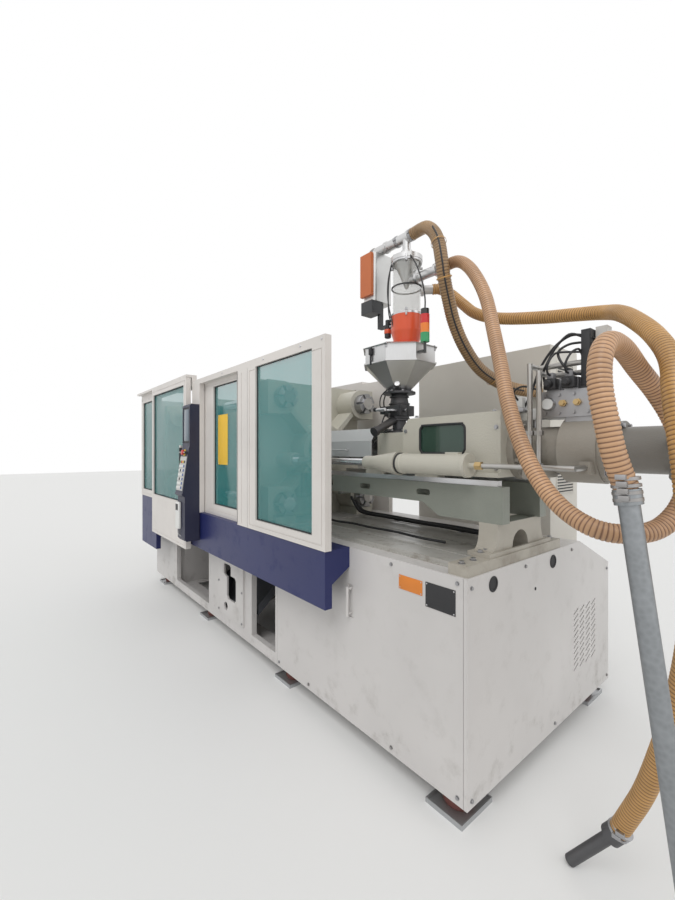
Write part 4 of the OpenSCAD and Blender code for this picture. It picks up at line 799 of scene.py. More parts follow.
# %% Hose routes
vacuum_points = [[-662, 460, 2754], [-600, 455, 2754], [-540, 435, 2732], [-475, 410, 2670],
                 [-425, 385, 2585], [-402, 378, 2490], [-402, 400, 2400], [-408, 445, 2300],
                 [-412, 500, 2190], [-408, 580, 2080], [-393, 690, 1975], [-365, 800, 1912],
                 [-325, 900, 1872], [-280, 970, 1852], [-238, 1020, 1845], [-222, 1060, 1843]]
material_points = [[-440, 460, 2490], [-370, 460, 2490], [-300, 440, 2445], [-220, 405, 2350],
                   [-140, 365, 2210], [-70, 310, 2030], [0, 245, 1860], [65, 180, 1700], [145, 120, 1540],
                   [235, 75, 1400], [330, 50, 1305], [430, 40, 1255], [510, 90, 1245], [565, 175, 1265],
                   [605, 240, 1345], [605, 270, 1460], [580, 250, 1585], [548, 205, 1675], [520, 115, 1748],
                   [510, 15, 1795], [505, -85, 1800], [505, -145, 1750], [510, -165, 1670],
                   [525, -165, 1575], [540, -155, 1485], [560, -130, 1400]]
supply_points = [[-606, 566, 2440], [-578, 594, 2440], [-530, 632, 2408], [-460, 650, 2335],
                 [-370, 645, 2255], [-215, 620, 2185], [-5, 610, 2135], [140, 585, 2105], [290, 525, 2065],
                 [390, 400, 2010], [475, 290, 1935], [545, 200, 1855], [600, 115, 1760], [625, 40, 1635],
                 [655, -5, 1445], [665, 10, 1235], [655, 60, 1010], [615, 105, 770], [570, 150, 595],
                 [520, 180, 425], [465, 205, 285], [440, 214, 225]]

print("route points:", len(vacuum_points), len(material_points), len(supply_points))

# %% Hoses, clamps and ties
vacuum_hose, vacuum_route = ribbed_hose("vacuum_hose", vacuum_points, 0.0343, hose_brown)
material_hose, material_route = ribbed_hose("material_hose", material_points, 0.030, hose_tan)
supply_hose, supply_route = ribbed_hose("supply_hose", supply_points, 0.030, hose_amber)


def mouth_clamps(name, top, foot, starts):
    """The worm-drive bands that hold a hose on its pipe."""
    made = Piece(name, "injection_unit", "dull_steel")
    along = (Vector(foot) - Vector(top)).normalized()
    for start in starts:
        band = Vector(top) + along * start
        made.turned(band, foot, [(0, 31.5), (0.8, 34.5), (9, 34.5), (9.8, 31.5)], machined_steel, 32)
        made.box(band + Vector((-10, -45, -6)), band + Vector((14, -30, 8)), machined_steel, 0.0015)
    return made.done()


def strapped_cable(name, points, tied):
    """A thin cable along the vacuum hose, held by amber ties round both."""
    made = Piece(name, "injection_unit", "dark_paint")
    line = [Vector(p) for p in points]
    beside = []
    for i, place in enumerate(line):
        along = (line[min(i + 1, len(line) - 1)] - line[max(i - 1, 0)]).normalized()
        away = Vector((0.6, -0.75, -0.2))
        away = (away - along * away.dot(along)).normalized()
        beside.append(place + away * 38)
        if i in tied:
            centre = place + away * 2.5
            made.band(centre - along * 3, centre + along * 4, (0, 6), 38.5, 40, hose_amber, 32)
    made.cable(beside, 4, cable_black)
    return made.done()


vacuum_ties = strapped_cable("vacuum_ties", vacuum_points[3:14], (1, 3, 8))
lance_clamps = mouth_clamps("lance_clamps", (560, -130, 1400), (730, -110, 44), (-30, -12, 6, 24))
wand_clamps = mouth_clamps("wand_clamps", (440, 214, 225), (290, 208, 12.5), (-22, -4))
print("hoses:", vacuum_hose.name, material_hose.name, supply_hose.name)

# %% Hanging them
for hose, route, node, wide, end, more, slot in (
        (vacuum_hose, vacuum_route, "hose_vacuum", 0.072, "object", [vacuum_ties], "hose_brown"),
        (material_hose, material_route, "hose_material", 0.060, "tool",
         [nodes["suction_lance"], lance_clamps], "hose_tan"),
        (supply_hose, supply_route, "hose_supply", 0.060, "tool",
         [nodes["suction_lance"], wand_clamps], "hose_tan")):
    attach(hose, "injection_unit")
    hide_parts(node)
    round(route_length(route), 4)
    print(hose.name, round(route_length(route), 3), "m")

# %% [markdown]
# ## Gaskets and the bare plate
# Each pane sits in its frame behind a black rubber gasket. One could bevel the frame's
# opening, but the gasket is a part of its own with its own sheen, so it is built as a
# thin ring of four strips in front of the pane. The yellow plate on the front door is
# a bare sheet.

# %% Strips and rivets
strip_width = 7


def strips(made, low, high, edge):
    """Four rubber strips round an upright opening along x, between two drawing corners."""
    (x0, y0, z0), (x1, y1, z1) = low, high
    made.box((x0, y0, z0), (x0 + strip_width, y1, z1), black_rubber, edge)
    made.box((x1 - strip_width, y0, z0), (x1, y1, z1), black_rubber, edge)
    for z in (z0, z1 - strip_width):
        made.box((x0 + strip_width, y0, z), (x1 - strip_width, y1, z + strip_width), black_rubber, edge)


def gasket(name, body, low, high):
    made = Piece(name, body, "mount_rubber")
    strips(made, low, high, 0.0015)
    return made


def rivets(made, low, high, inset, start, radius, cap, sides):
    """A rivet near each corner of a plate that faces the operator."""
    for x in (low[0] + inset, high[0] - inset):
        for z in (low[2] + inset, high[2] - inset):
            made.turned((x, start, z), (x, start - 2.4, z), [(0, radius), (1.2, radius), (2.2, cap)],
                        bright_steel, sides)


print("rubber strips", strip_width, "mm wide")

# %% Gaskets and notice plate
gasket("front_door_gasket", "front_door", (-2165, -112, 1080.5), (-1755, -106.3, 1989.5)).done()
gasket("clamp_door_gasket", "clamp_door", (-3454, -205, 1060.2), (-2570, -199.3, 2043.5)).done()
gasket("rear_door_gasket", "rear_door", (-2400, 1098.3, 1110.2), (-1840, 1104, 1989.5)).done()
gaskets_and_shadow_lines = gasket("guard_gaskets_and_shadow_lines", "machine", (-1400, -157, 1064.2), (-795, -151.3, 2019.8))
strips(gaskets_and_shadow_lines, (-4034, -157, 1070), (-3620, -151.3, 2019), 0.001)
# painted shadow lines: thin black strips stand for the shade in the gaps and grooves between the guard's
# profiles
for low, high in (((-1509.5, -166, 1004), (-1506.5, -140, 2028)),
                  ((-1654, -168.5, 1004), (-1650, -167.2, 2028)),
                  ((-3492, -166, 1004), (-3486, -140, 2028))):
    gaskets_and_shadow_lines.box(low, high, black_rubber, 0.001)
gaskets_and_shadow_lines.done()
notice = Piece("notice_plate", "front_door", "sheet_steel")
plate_low, plate_high = (-2112, -107.8, 1390), (-1938, -106.3, 1766)
notice.box(plate_low, plate_high, notice_yellow, 0.0006)
rivets(notice, plate_low, plate_high, 10, -107.6, 4, 2.5, 12)
notice.done()

# %% [markdown]
# ## Control column
# The operator looks at a glass screen and works coloured keys, two selector knobs and
# a red button on the sloping face. The keys are a grid, and each gets a soft cap. A
# small helper turns a place on the slope into a place in the machine.

# %% The sloping key face
slope_foot = (-2500, -302, 1160)
slope = math.atan2(50, 350)
key_wide, key_tall = 22, 20
key_rows, key_columns = 7, 4
first_key, key_step = (25, 33), (31, 34)


def on_slope(u, v, w):
    """Across, up and out of the key face, as a drawing point."""
    x, y, z = slope_foot
    return (x + u, y + v * math.sin(slope) - w * math.cos(slope),
            z + v * math.cos(slope) + w * math.sin(slope))


def key_loop(u, v, height, inset=0.0):
    """The outline of one key's cap, at this height over the slope."""
    left, right = u + inset, u + key_wide - inset
    low, high = v + inset, v + key_tall - inset
    return [on_slope(left, low, height), on_slope(right, low, height),
            on_slope(right, high, height), on_slope(left, high, height)]


print("the key face leans back by", round(math.degrees(slope), 1), "degrees")

# %% Screen and keys
key_blue = plastic("key_blue", (0.05, 0.10, 0.30), 0.45)
key_green = plastic("key_green", (0.04, 0.26, 0.09), 0.45)
key_yellow = plastic("key_yellow", (0.62, 0.42, 0.03), 0.45)
key_dark = plastic("key_dark", (0.022, 0.022, 0.024), 0.5)
screen_glass = plastic("screen_glass", (0.13, 0.17, 0.21), 0.08, 0.00002)
controls = Piece("panel_controls", "machine", "key_plastic")
controls.box((-2484, -243.6, 1558), (-2351, -242.2, 1836), key_dark, 0.0006)
controls.box((-2474, -245.0, 1572), (-2361, -243.4, 1824), screen_glass, 0.0006)
cap_colours = [key_green, stop_red, key_yellow, key_dark]
for row in range(key_rows):
    for column in range(key_columns):
        finish = cap_colours[column] if row == key_rows - 1 else (key_blue if column == 3 else label_white)
        if row in (2, 4) and column == 1:
            finish = key_dark
        u, v = first_key[0] + column * key_step[0], first_key[1] + row * key_step[1]
        controls.shell(key_loop(u, v, 7.1), key_loop(u, v, 9.6, 1.5), finish)
print("keys", key_rows * key_columns)

# %% Knobs, button collar and key switch
knob_row = 322
for u in (34, 131):
    controls.turned(on_slope(u, knob_row, 0.3), on_slope(u, knob_row, 20),
                    [(0, 14), (4, 14), (5, 11), (14, 10), (18, 9)], key_dark, 20)
    controls.turned(on_slope(u, knob_row, 17.9), on_slope(u, knob_row, 30), [(0, 4), (8, 4), (9, 2)],
                    label_white, 8)
controls.turned(on_slope(82.5, knob_row, 0.3), on_slope(82.5, knob_row, 12), [(0, 27), (3, 27), (5, 24)],
                key_yellow, 28)
controls.box((-2487, -309, 872), (-2412, -284.3, 1086), label_white, 0.011, 4)
controls.box((-2477, -309.8, 1020), (-2422, -308.8, 1070), key_dark, 0.0005)
controls.cable([(-2450, -297, 873), (-2450, -298, 850), (-2440, -296, 826), (-2425, -285, 815),
                (-2415, -276, 812)], 4.5, cable_grey)
controls.done()

# %% [markdown]
# ## Bare plates, grommets and grips
# The bed's front carries two riveted plates, here without any words. The holes in its
# end cover have black rubber cups. Their profile turns back inside, which leaves a
# real recess instead of a dark disc.

# %% Bed trim
trim = Piece("bed_plates", "machine", "dark_paint")
bed_plates = (((-352, -1.9, 877), (-218, -0.3, 940), notice_orange),
              ((-201, -1.9, 840), (-52, -0.3, 944), key_dark))
for low, high, finish in bed_plates:
    trim.box(low, high, finish, 0.0006)
for low, high, finish in bed_plates:
    rivets(trim, low, high, 7, -1.6, 3.2, 1.8, 10)
# painted shade: a thin dark sheet just inside the end cover stands for the dark hollow behind it
trim.box((-15.9, 976, 306), (-15.3, 1304, 644), key_dark, 0.0)
for y in (187, 740):
    trim.turned((0.3, y, 945), (30, y, 945), [(-15, 23), (2, 24.4), (3.4, 26), (3.4, 31), (2, 33), (0, 33)],
                black_rubber, 32)
trim.turned((0.3, 555, 848), (10, 555, 848), [(-15, 5.5), (1, 5.5), (1, 8), (0, 8)], black_rubber, 16)
trim.done()
grip = Piece("clamp_door_grip", "clamp_door", "mount_rubber")
grip.turned((-2540, -249, 1140), (-2540, -249, 1520), [(0, 10), (2, 12), (378, 12), (380, 10)], key_dark, 20)
grip.done()
rear_grip = Piece("rear_door_grip", "rear_door", "mount_rubber")
rear_grip.turned((-1800, 1148, 1400), (-1800, 1148, 1600), [(0, 10), (2, 12), (198, 12), (200, 10)],
                 key_dark, 20)
rear_grip.done()

# %% [markdown]
# ## Screws on covers, flanges and castings
# The lists below follow how such parts are fixed: corners of covers, rings round
# flanges, rows along feet. The injection unit and its throat share one centre line,
# which has a name, because the rings of screws and later pieces stand round it.

# %% Screw patterns
unit_y, throat_x, tube_x = 460, -770, -712
screw_group("bed_screws", [
    ((0, -1, 0), 7, [(x, -0.3, z) for x in (-1390, -1060, -400, -44) for z in (130, 974)]),
    ((0, -1, 0), 7, [(x, -14.3, z) for x in (-2312, -1898) for z in (210, 440, 672)]),
    ((1, 0, 0), 7, [(0.3, y, z) for y, z in ((30, 130), (30, 960), (460, 970), (960, 970), (760, 130),
                                             (1470, 130), (1470, 780))]),
    ((0, 0, 1), 11, [(-65, y, 1063.3) for y in (196, 238, 682, 724)]
     + [(-51, y, 1045.3) for y in (40, 120, 780, 815)]),
    ((0, 0, 1), 16, [(-1490, y, 1050.3) for y in (40, 100, 820, 880)]),
    ((1, 0, 0), 13, [(-1469.7, y, z) for y in (250, 330, 590, 670) for z in (1190, 1320)])],
    "machine", machined_steel)
screw_group("column_screws", [
    ((0, -1, 0), 5, [(x, -167.3, 2050) for x in (-4060, -3800, -2600, -1900, -1300, -900, -710)]),
    ((0, -1, 0), 5, [(x, -272.3, 786) for x in (-2490, -2345)])], "machine", bright_steel)
screw_group("unit_screws", [
    ((1, 0, 0), 12, ring((350.3, unit_y, 1500), 119, 12, "x", 15)),
    ((1, 0, 0), 9, ring((390.3, unit_y, 1500), 100, 8, "x", 22)),
    ((0, 0, 1), 8, ring((throat_x, unit_y, 1845.3), 82, 8, "z", 10)),
    ((0, 0, 1), 8, ring((throat_x, unit_y, 1614.3), 63, 6, "z", 30)),
    ((0, -1, 0), 8, [(x, 279.7, z) for x in (-560, -40) for z in (1420, 1600)]),
    ((0, -1, 0), 7, [(x, 379.7, z) for x in (125, 180, 235, 286) for z in (1652, 1726)]),
    ((0, 0, 1), 9, [(x, y, 1671.3) for x in (-500, -60) for y in (300, 620)])],
    "injection_unit", machined_steel)

# %% [markdown]
# ## Vacuum loader
# Through the clear tube one sees the cone of its filter. Over-centre latches clamp the
# tube between two flanges, and black wires run down to the valves. The latches are
# small, so a turned rod along the tube and a pivot pin across it are enough for each.

# %% Filter cone and tube flanges
def round_axis(x, radius, turn, z):
    """A drawing point round an upright axis on the unit's centre line."""
    return (x + radius * math.cos(math.radians(turn)), unit_y + radius * math.sin(math.radians(turn)), z)


loader = Piece("loader_fittings", "injection_unit", "sheet_steel")
loader.turned((tube_x, unit_y, 2602), (tube_x, unit_y, 2440),
              [(0, 74), (6, 74), (10, 70), (118, 22), (150, 9), (154, 4)], sheet_steel, 32)
loader.turned((-640, unit_y, 2490), (-700, unit_y, 2490), [(0, 25), (40, 25), (44, 23)], bright_steel, 24)
for z, height in ((2284.3, 12), (2592, 11.5), (2448, 6)):
    loader.band((tube_x, unit_y, z), (tube_x, unit_y, z + height), (0, height), 82.5, 90,
                bright_steel if height > 6 else key_dark, 40)
print("tube flanges and filter cone in place")

# %% Latches, pipe bands and wires
for turn in (200, 310, 70):
    for z, way in ((2584, 1), (2302, -1)):
        loader.turned(round_axis(tube_x, 92, turn, z), round_axis(tube_x, 92, turn, z + 34 * way),
                      [(0, 6), (26, 6), (34, 4)], bright_steel, 10)
        loader.turned(round_axis(tube_x, 84, turn, z), round_axis(tube_x, 104, turn, z),
                      [(0, 8), (20, 8)], machined_steel, 10)
loader.turned((tube_x, unit_y, 2630), (tube_x, unit_y, 2672),
              [(0, 40), (12, 40), (16, 34), (40, 34), (42, 30)], sheet_steel, 32)
loader.box((-790, 425, 2630), (-752, 480, 2668), key_dark, 0.003)
for x in (-985, -790):
    loader.band((x, unit_y, 2754), (x + 14, unit_y, 2754), (0, 14), 30, 34, machined_steel)
    loader.box((x, 420, 2748), (x + 14, 430, 2764), machined_steel, 0.001)
loader.band((-690, unit_y, 2754), (-650, unit_y, 2754), (14, 26), 33.5, 35.8, machined_steel)
loader.box((-676, 418, 2748), (-664, 426, 2766), machined_steel, 0.001)
loader.band((-448, unit_y, 2490), (-400, unit_y, 2490), (12, 22), 31.5, 34, machined_steel)
loader.box((-438, 420, 2484), (-424, 430, 2500), machined_steel, 0.001)
loader.cable([(-790, 440, 2650), (-806, 424, 2600), (-812, 412, 2500), (-808, 404, 2400),
              (-798, 400, 2310), (-790, 410, 2260)], 4, cable_black)
loader.cable([(-770, 425, 2640), (-782, 392, 2560), (-786, 376, 2460), (-776, 372, 2360),
              (-752, 372, 2270), (-742, 378, 2215)], 3.5, cable_black)
loader.cable([(-528, 400, 2268), (-526, 398, 2330), (-540, 392, 2420), (-578, 392, 2520),
              (-625, 405, 2590), (-660, 420, 2632), (-690, 440, 2640)], 4, cable_black)
loader.turned((-838, 432, 2180), (-838, 432, 2290),
              [(0, 14), (4, 20), (70, 20), (74, 15), (108, 15), (110, 12)], key_dark, 20)
loader.turned((-838, 432, 2206), (-838, 432, 2232), [(0, 20.4), (3, 22.5), (23, 22.5), (26, 20.4)],
              loader_orange, 20)
loader.box((-824, 424, 2240), (-800, 440, 2252), machined_steel, 0.001)
loader.done()

# %% Hopper and throat details
throat = Piece("throat_fittings", "injection_unit", "throat_black")
for turn in (22.5, 112.5, 202.5, 292.5):
    throat.turned(round_axis(throat_x, 212, turn, 2070), round_axis(throat_x, 212, turn, 2102),
                  [(0, 8), (26, 8), (32, 5)], machined_steel, 10)
throat.box((-812, 244, 2046), (-790, 258, 2086), key_dark, 0.003)
throat.box((-806, 248, 1990), (-796, 256, 2048), key_dark, 0.002)
throat.turned((-728, 401, 1869), (-716, 382, 1876), [(0, 8), (14, 8), (18, 5)], sensor_white, 16)
throat.cable([(-716, 380, 1876), (-740, 350, 1860), (-800, 340, 1820), (-846, 372, 1770),
              (-850, 400, 1745)], 3.5, cable_black)
throat.box((-866, 392, 1716), (-832.3, 440, 1762), key_dark, 0.003)
throat.turned((-866, 416, 1740), (-930, 396, 1752), [(0, 9), (40, 9), (44, 13), (60, 13), (64, 9)],
              key_dark, 16)
throat.turned((-832, 470, 1708), (-888, 500, 1690), [(0, 12), (50, 12), (56, 8)], key_dark, 16)
for z, radius in ((1618, 52), (1684, 62), (1770, 63), (1812, 58)):
    throat.turned((throat_x, unit_y, z), (throat_x, unit_y, z + 9),
                  [(0, radius - 3), (2, radius), (7, radius), (9, radius - 3)], black_iron, 36)
throat.turned((-707.7, 440, 1732), (-676, 432, 1732), [(0, 10), (14, 10), (16, 6), (32, 6)],
              machined_steel, 14)
throat.turned((-676, 432, 1700), (-676, 432, 1768), [(0, 6), (6, 8), (60, 8), (68, 6)], key_dark, 14)
throat.turned((-790, 397.7, 1712), (-790, 372, 1706), [(0, 9), (8, 9), (10, 5), (26, 5)],
              machined_steel, 12)
throat.box((-802, 366, 1698), (-778, 374, 1712), key_dark, 0.002)
throat.cable([(-850, 420, 1716), (-862, 408, 1670), (-850, 384, 1630), (-812, 372, 1612),
              (-790, 372, 1604)], 4, cable_black)
throat.cable([(-880, 498, 1690), (-905, 480, 1730), (-880, 440, 1800), (-850, 430, 1850),
              (-845, 430, 1900), (-850, 430, 1950)], 4, cable_black)
throat.done()

# %% [markdown]
# ## Injection unit
# The coupling windows sit in rounded rubber rims. The drive's valves have black coils,
# plugs and looped cables, and a brass nut closes the carriage cylinder's line. Cables
# are tubes swept along a few points, like the hoses but plain.

# %% Window rims
def rounded(x0, x1, z0, z1, radius, y):
    """A closed loop of drawing points with round corners, in an upright wall along x."""
    points = []
    for cx, cz, start in ((x1 - radius, z1 - radius, 0), (x0 + radius, z1 - radius, 90),
                          (x0 + radius, z0 + radius, 180), (x1 - radius, z0 + radius, 270)):
        for k in range(5):
            t = math.radians(start + k * 22.5)
            points.append((cx + radius * math.cos(t), y, cz + radius * math.sin(t)))
    return points + [points[0]]


unit = Piece("unit_fittings", "injection_unit", "dark_paint")
for y in (281, 639):
    unit.cable(rounded(-463, -197, 1483, 1625, 28, y), 6, black_rubber, 3, 8)
print("window rims of", len(rounded(-463, -197, 1483, 1625, 28, 281)), "points each")

# %% Drive valves and their cables
for x in (156, 226):
    unit.box((x - 24, 344, 1748), (x + 24, 379.7, 1792), key_dark, 0.003)
    unit.turned((x, 344, 1770), (x, 316, 1770), [(0, 15), (20, 15), (24, 11), (28, 11)], key_dark, 20)
    unit.box((x - 13, 350, 1792), (x + 13, 378, 1816), cable_grey, 0.003)
    unit.cable([(x, 352, 1806), (x, 330, 1812), (x + 6, 312, 1840), (x + 20, 330, 1880),
                (x + 34, 366, 1896), (262, 400, 1890 - (x - 156) * 0.3)], 4.5, cable_black)
unit.cable([(262, 392, 1800), (236, 366, 1808), (200, 356, 1850), (180, 372, 1900), (210, 400, 1930),
            (262, 410, 1930)], 5, cable_black)
unit.cable([(262, 388, 1950), (226, 360, 1960), (176, 362, 1920), (140, 372, 1870), (112, 392, 1830),
            (104, 420, 1790), (118, 440, 1745)], 5, cable_black)
unit.cable([(262, 430, 1960), (200, 440, 1975), (130, 450, 1940), (70, 452, 1860), (30, 455, 1760),
            (0, 456, 1700), (-30, 456, 1675)], 5.5, cable_black)
unit.box((264, 376, 1756), (294, 379.7, 1964), key_dark, 0.002)
for k in range(9):
    unit.box((298.3, 384, 1760 + k * 22), (304, 418, 1764 + k * 22), key_dark, 0.0008)
print("two valve coils and their cables in place")

# %% Gauge, plugs, bands and sensor boxes
unit.box((84, 404, 1634.3), (109.7, 520, 1690), cable_grey, 0.004)
unit.turned((140, 379.7, 1690), (140, 362, 1690), [(0, 24), (2, 26), (14, 26), (18, 23)], bright_steel, 28)
unit.turned((140, 361.8, 1690), (140, 360.5, 1690), [(0, 22), (1, 22)], label_white, 28)
for x, z in ((196, 1690), (250, 1690)):
    unit.turned((x, 379.7, z), (x, 356, z), [(0, 15), (10, 15), (10.5, 11), (22, 11)], nozzle_brass, 6)
unit.turned((-90, 198, 1432), (-58, 198, 1432), [(0, 15), (2, 19), (30, 19), (32, 15)], nozzle_brass, 6)
for x, radius in ((-528, 54), (-500, 53), (-140, 55)):
    unit.turned((x, 198, 1432), (x + 12, 198, 1432),
                [(0, radius - 2), (2, radius), (10, radius), (12, radius - 2)],
                cast_beige if x > -510 else key_dark, 36)
for x in (85, 123):
    unit.box((x - 16, 316, 1560), (x + 16, 338, 1580), machined_steel, 0.002)
    unit.turned((x, 326, 1424), (x, 326, 1446), [(0, 19), (20, 19), (22, 15)], machined_steel, 6)
unit.box((-70, 420, 1671.3), (10, 500, 1690), machined_steel, 0.003)
unit.box((-62, 428, 1690), (2, 484, 1742), label_white, 0.006)
unit.box((-56, 423, 1706), (-30, 429, 1730), key_dark, 0.002)
unit.box((15, 440, 1634), (75, 500, 1684), label_white, 0.006)
unit.turned((44, 470, 1600), (44, 470, 1636), [(0, 14), (34, 14)], machined_steel, 16)
unit.cable([(-20, 430, 1726), (-24, 400, 1760), (20, 392, 1780), (80, 400, 1760), (110, 420, 1720)], 4.5,
           cable_black)
unit.done()

# %% [markdown]
# ## Wiring under the injection unit
# Black hoses lie on the drip tray behind the beams and rise to the unit's underside.
# They could be curves with a bevel, but a curve has to be made a mesh before it can
# ride on a body, so the piece maker's cable is used, as for the thin wires.

# %% Tray hoses
tray = Piece("tray_hoses", "machine", "mount_rubber")
tray.cable([(-1440, 700, 1120), (-1400, 716, 1060), (-1330, 724, 1036), (-1100, 730, 1034),
            (-800, 716, 1034), (-560, 732, 1034), (-380, 720, 1034), (-240, 732, 1034),
            (-150, 760, 1032)], 12, black_rubber)
tray.cable([(-1440, 660, 1150), (-1390, 672, 1070), (-1320, 680, 1036), (-1080, 682, 1034),
            (-820, 676, 1034), (-600, 688, 1034), (-420, 676, 1034), (-250, 690, 1034),
            (-150, 700, 1032)], 10, black_rubber)
tray.cable([(-1300, 330, 1032), (-1180, 320, 1032), (-1060, 346, 1032), (-900, 340, 1032),
            (-700, 356, 1032), (-520, 340, 1032), (-360, 352, 1032)], 7, cable_black, sides=8)
for x in (-1000, -500):
    tray.box((x, 650, 1022), (x + 30, 750, 1026), machined_steel, 0.001)
tray.done()

# %% [markdown]
# ## Cabinet vents
# The cabinet breathes through pressed slats on its end. A row of slats is one slat on
# a line of points, so Geometry Nodes build it from a width, a pitch and a count.

# %% Slat tree
def slat_tree():
    tree = new_tree("pressed_slats", {"Count": ("Int", 8), "Pitch": ("Float", 0.03),
                                      "Width": ("Float", 0.2), "Finish": ("Material", None)})
    into = add(tree, "NodeGroupInput").outputs
    rise = add(tree, "ShaderNodeCombineXYZ", {}, {2: into["Pitch"]})
    row = add(tree, "GeometryNodeMeshLine", {"mode": "OFFSET"},
              {"Count": into["Count"], "Offset": rise.outputs[0]})
    size = add(tree, "ShaderNodeCombineXYZ", {}, {0: 0.012, 1: into["Width"], 2: 0.004})
    slat = add(tree, "GeometryNodeMeshCube", {}, {"Size": size.outputs[0]})
    lean = add(tree, "GeometryNodeTransform", {},
               {"Geometry": slat.outputs[0], "Rotation": (0.0, 0.7, 0.0)})
    placed = add(tree, "GeometryNodeInstanceOnPoints", {},
                 {"Points": row.outputs[0], "Instance": lean.outputs[0]})
    real = add(tree, "GeometryNodeRealizeInstances", {}, {"Geometry": placed.outputs[0]})
    return finish_tree(tree, real.outputs[0], into["Finish"])


slats = slat_tree()


def vent(name, body, corner, count, pitch, width, finish):
    """A row of slats from its lowest slat's middle, in drawing millimetres."""
    made = grow(dot_object(name, [(0, 0, 0)]), slats,
                Count=count, Pitch=pitch / 1000, Width=width / 1000, Finish=finish)
    made.data.transform(Matrix.Translation(at(*corner)))
    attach(made, body)
    print(name, count, "slats")
    return made


print("slat tree ready:", slats.name)

# %% Vents and cabinet fittings
vent_feet = {"cabinet_vent_low": 1226, "cabinet_vent_high": 1806}
for name, z0 in vent_feet.items():
    vent(name, "machine", (-168, 1300, z0 + 14), 12, 18, 220, cabinet_beige)
cabinet = Piece("cabinet_fittings", "machine", "cabinet_paint")
for z0 in vent_feet.values():
    for y0, y1, foot, top in ((1176, 1188, 0, 226), (1412, 1424, 0, 226), (1188, 1412, 0, 8),
                              (1188, 1412, 218, 226)):
        cabinet.box((-170, y0, z0 + foot), (-166, y1, z0 + top), cabinet_beige, 0.001)
    # painted shade: a thin dark sheet behind the slats stands for the shade inside the cabinet
    cabinet.box((-170.2, 1188, z0 + 8), (-169.4, 1412, z0 + 218), key_dark, 0.0)
for x in (-1100, -220):
    cabinet.turned((x, 1300, 2119.7), (x, 1300, 2146), [(0, 24), (6, 24), (8, 14), (26, 14)],
                   machined_steel, 20)
cabinet.done()
door_trim = Piece("cabinet_door_fittings", "cabinet_door", "dark_paint")
door_trim.box((-216, 1490, 1520), (-200, 1499.5, 1580), key_dark, 0.003)
for z in (1200, 1920):
    door_trim.box((-1142, 1484, z - 20), (-1128, 1494, z + 40), key_dark, 0.002)
door_trim.done()

# %% [markdown]
# ## Switchgear in the cabinet
# Behind the cabinet's door a zinc plate carries rows of contactors and terminals on
# rails, between slotted wire ducts. Each row is the same module repeated, so a loop
# with a few widths places them, and every module has a body, a face and two screws.

# %% Switchgear
wall_y = 1130
rail_ends = (-1055, -330)
gear = Piece("switchgear", "machine", "key_plastic")
gear.box((-1085, wall_y + 4, 1120), (-300, wall_y + 8, 2030), galvanised, 0.0006)
for z in (1150, 1360, 1580, 1800, 1985):
    gear.box((-1060, wall_y + 8.3, z), (-325, wall_y + 60, z + 36), light_grey, 0.002)
    # painted shade: the duct's slots are thin dark strips on its face
    for k in range(36):
        x = -1052 + k * 20
        gear.box((x, wall_y + 60, z + 5), (x + 6, wall_y + 60.8, z + 31), key_dark, 0.0)


def contactor(k, z, wide, tall, deep):
    """The k-th module of the row at this height: its body, its face and two screws."""
    x = rail_ends[0] + 5 + k * (wide + 3)
    front = wall_y + deep
    body = label_white if (k * 3 + z // 100) % 4 == 0 else (key_dark if (k + z) % 3 == 0 else cable_grey)
    gear.box((x, wall_y + 15.3, z - tall / 2), (x + wide, front, z + tall / 2), body, 0.0015)
    gear.box((x + 5, front, z - 14), (x + wide - 5, front + 5, z + 14),
             key_blue if k % 3 == 0 else key_dark, 0.001)
    for high in (z - tall / 2 + 9, z + tall / 2 - 9):
        gear.turned((x + wide / 2, front, high), (x + wide / 2, front + 2, high),
                    [(0, 4), (1.5, 4), (2, 3)], bright_steel, 10)


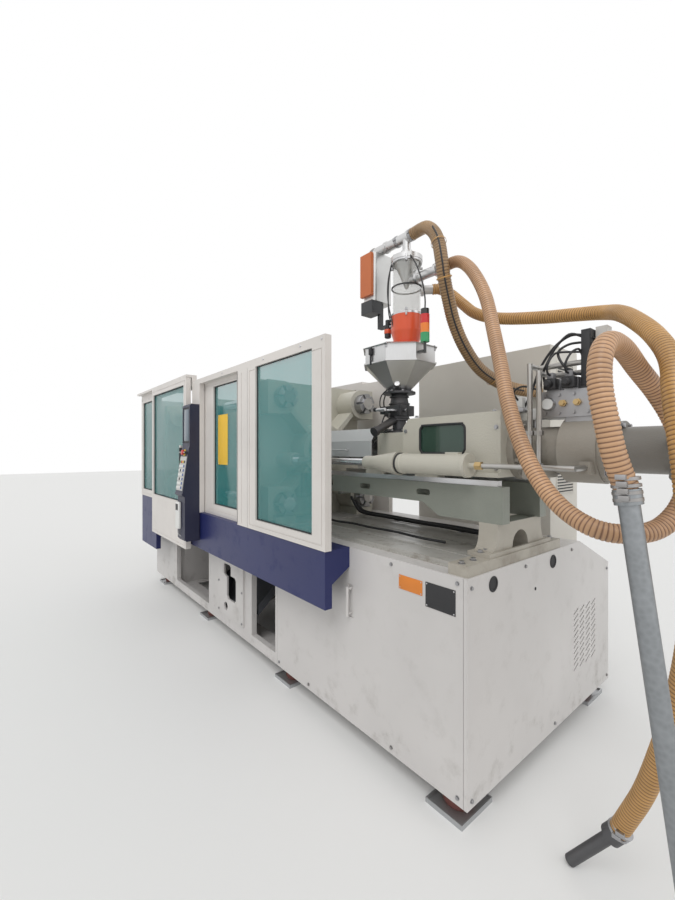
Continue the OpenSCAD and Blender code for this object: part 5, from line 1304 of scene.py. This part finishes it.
rows = ((1270, 44, 74, 82), (1490, 60, 84, 96), (1705, 36, 66, 70), (1915, 52, 74, 88))
for z, wide, tall, deep in rows:
    gear.box((rail_ends[0], wall_y + 8.3, z - 16), (rail_ends[1], wall_y + 15, z + 16), bright_steel, 0.0005)
    for k in range(int(715 / (wide + 3))):
        if (k + z // 10) % 9 != 8:
            contactor(k, z, wide, tall, deep)
for k in range(7):
    x = -1020 + k * 96
    gear.cable([(x, wall_y + 50, 1300), (x + 6, wall_y + 84, 1330), (x + 2, wall_y + 50, 1365)],
               3, key_blue, 4, 6)
    gear.cable([(x + 40, wall_y + 50, 1745), (x + 38, wall_y + 78, 1775), (x + 42, wall_y + 50, 1805)],
               3, cable_black, 4, 6)
gear.done()
print("switchgear rows", len(rows))

# %% [markdown]
# ## Studio
# The object stands on a plain pale floor under soft light, at a level where a colour
# renders about as it is written. The white surround is only what the camera, a
# reflection or a clear pane sees: Light Path tells those rays apart, so it adds no
# light to the machine.

# %% Floor, light and surround
floor_mesh = bpy.data.meshes.new("floor")
floor_mesh.from_pydata([(-30, -30, 0), (30, -30, 0), (30, 30, 0), (-30, 30, 0)], [], [(0, 1, 2, 3)])
floor = put_in_scene("floor", floor_mesh)
floor_finish = Finish("floor_pale", (0.80, 0.80, 0.79), 0.8)
floor_mesh.materials.append(floor_finish.material)

world = bpy.data.worlds.new("studio")
bpy.context.scene.world = world
world.use_nodes = True
sky = world.node_tree
sky.nodes.clear()
soft = add(sky, "ShaderNodeBackground", {}, {"Color": (1.0, 1.0, 1.0, 1.0), "Strength": 0.62})
white = add(sky, "ShaderNodeBackground", {}, {"Color": (1.0, 1.0, 1.0, 1.0), "Strength": 1.0})
rays = add(sky, "ShaderNodeLightPath")
seen = rays.outputs["Is Camera Ray"]
for kind in ("Is Glossy Ray", "Is Transmission Ray"):
    seen = add(sky, "ShaderNodeMath", {"operation": "ADD", "use_clamp": True},
               {0: seen, 1: rays.outputs[kind]}).outputs[0]
both = add(sky, "ShaderNodeMixShader", {}, {0: seen, 1: soft.outputs[0], 2: white.outputs[0]})
add(sky, "ShaderNodeOutputWorld", {}, {0: both.outputs[0]})


def sun(name, power, spread, turn):
    lamp = bpy.data.lights.new(name, "SUN")
    lamp.energy = power
    lamp.angle = math.radians(spread)
    holder = put_in_scene(name, lamp)
    holder.rotation_euler = [math.radians(a) for a in turn]
    return holder


key = sun("key", 1.15, 35, (38, 0, 28))
fill = sun("fill", 0.45, 60, (62, 0, 95))
bpy.context.scene.view_settings.view_transform = "Standard"
print("studio ready:", key.name, fill.name)
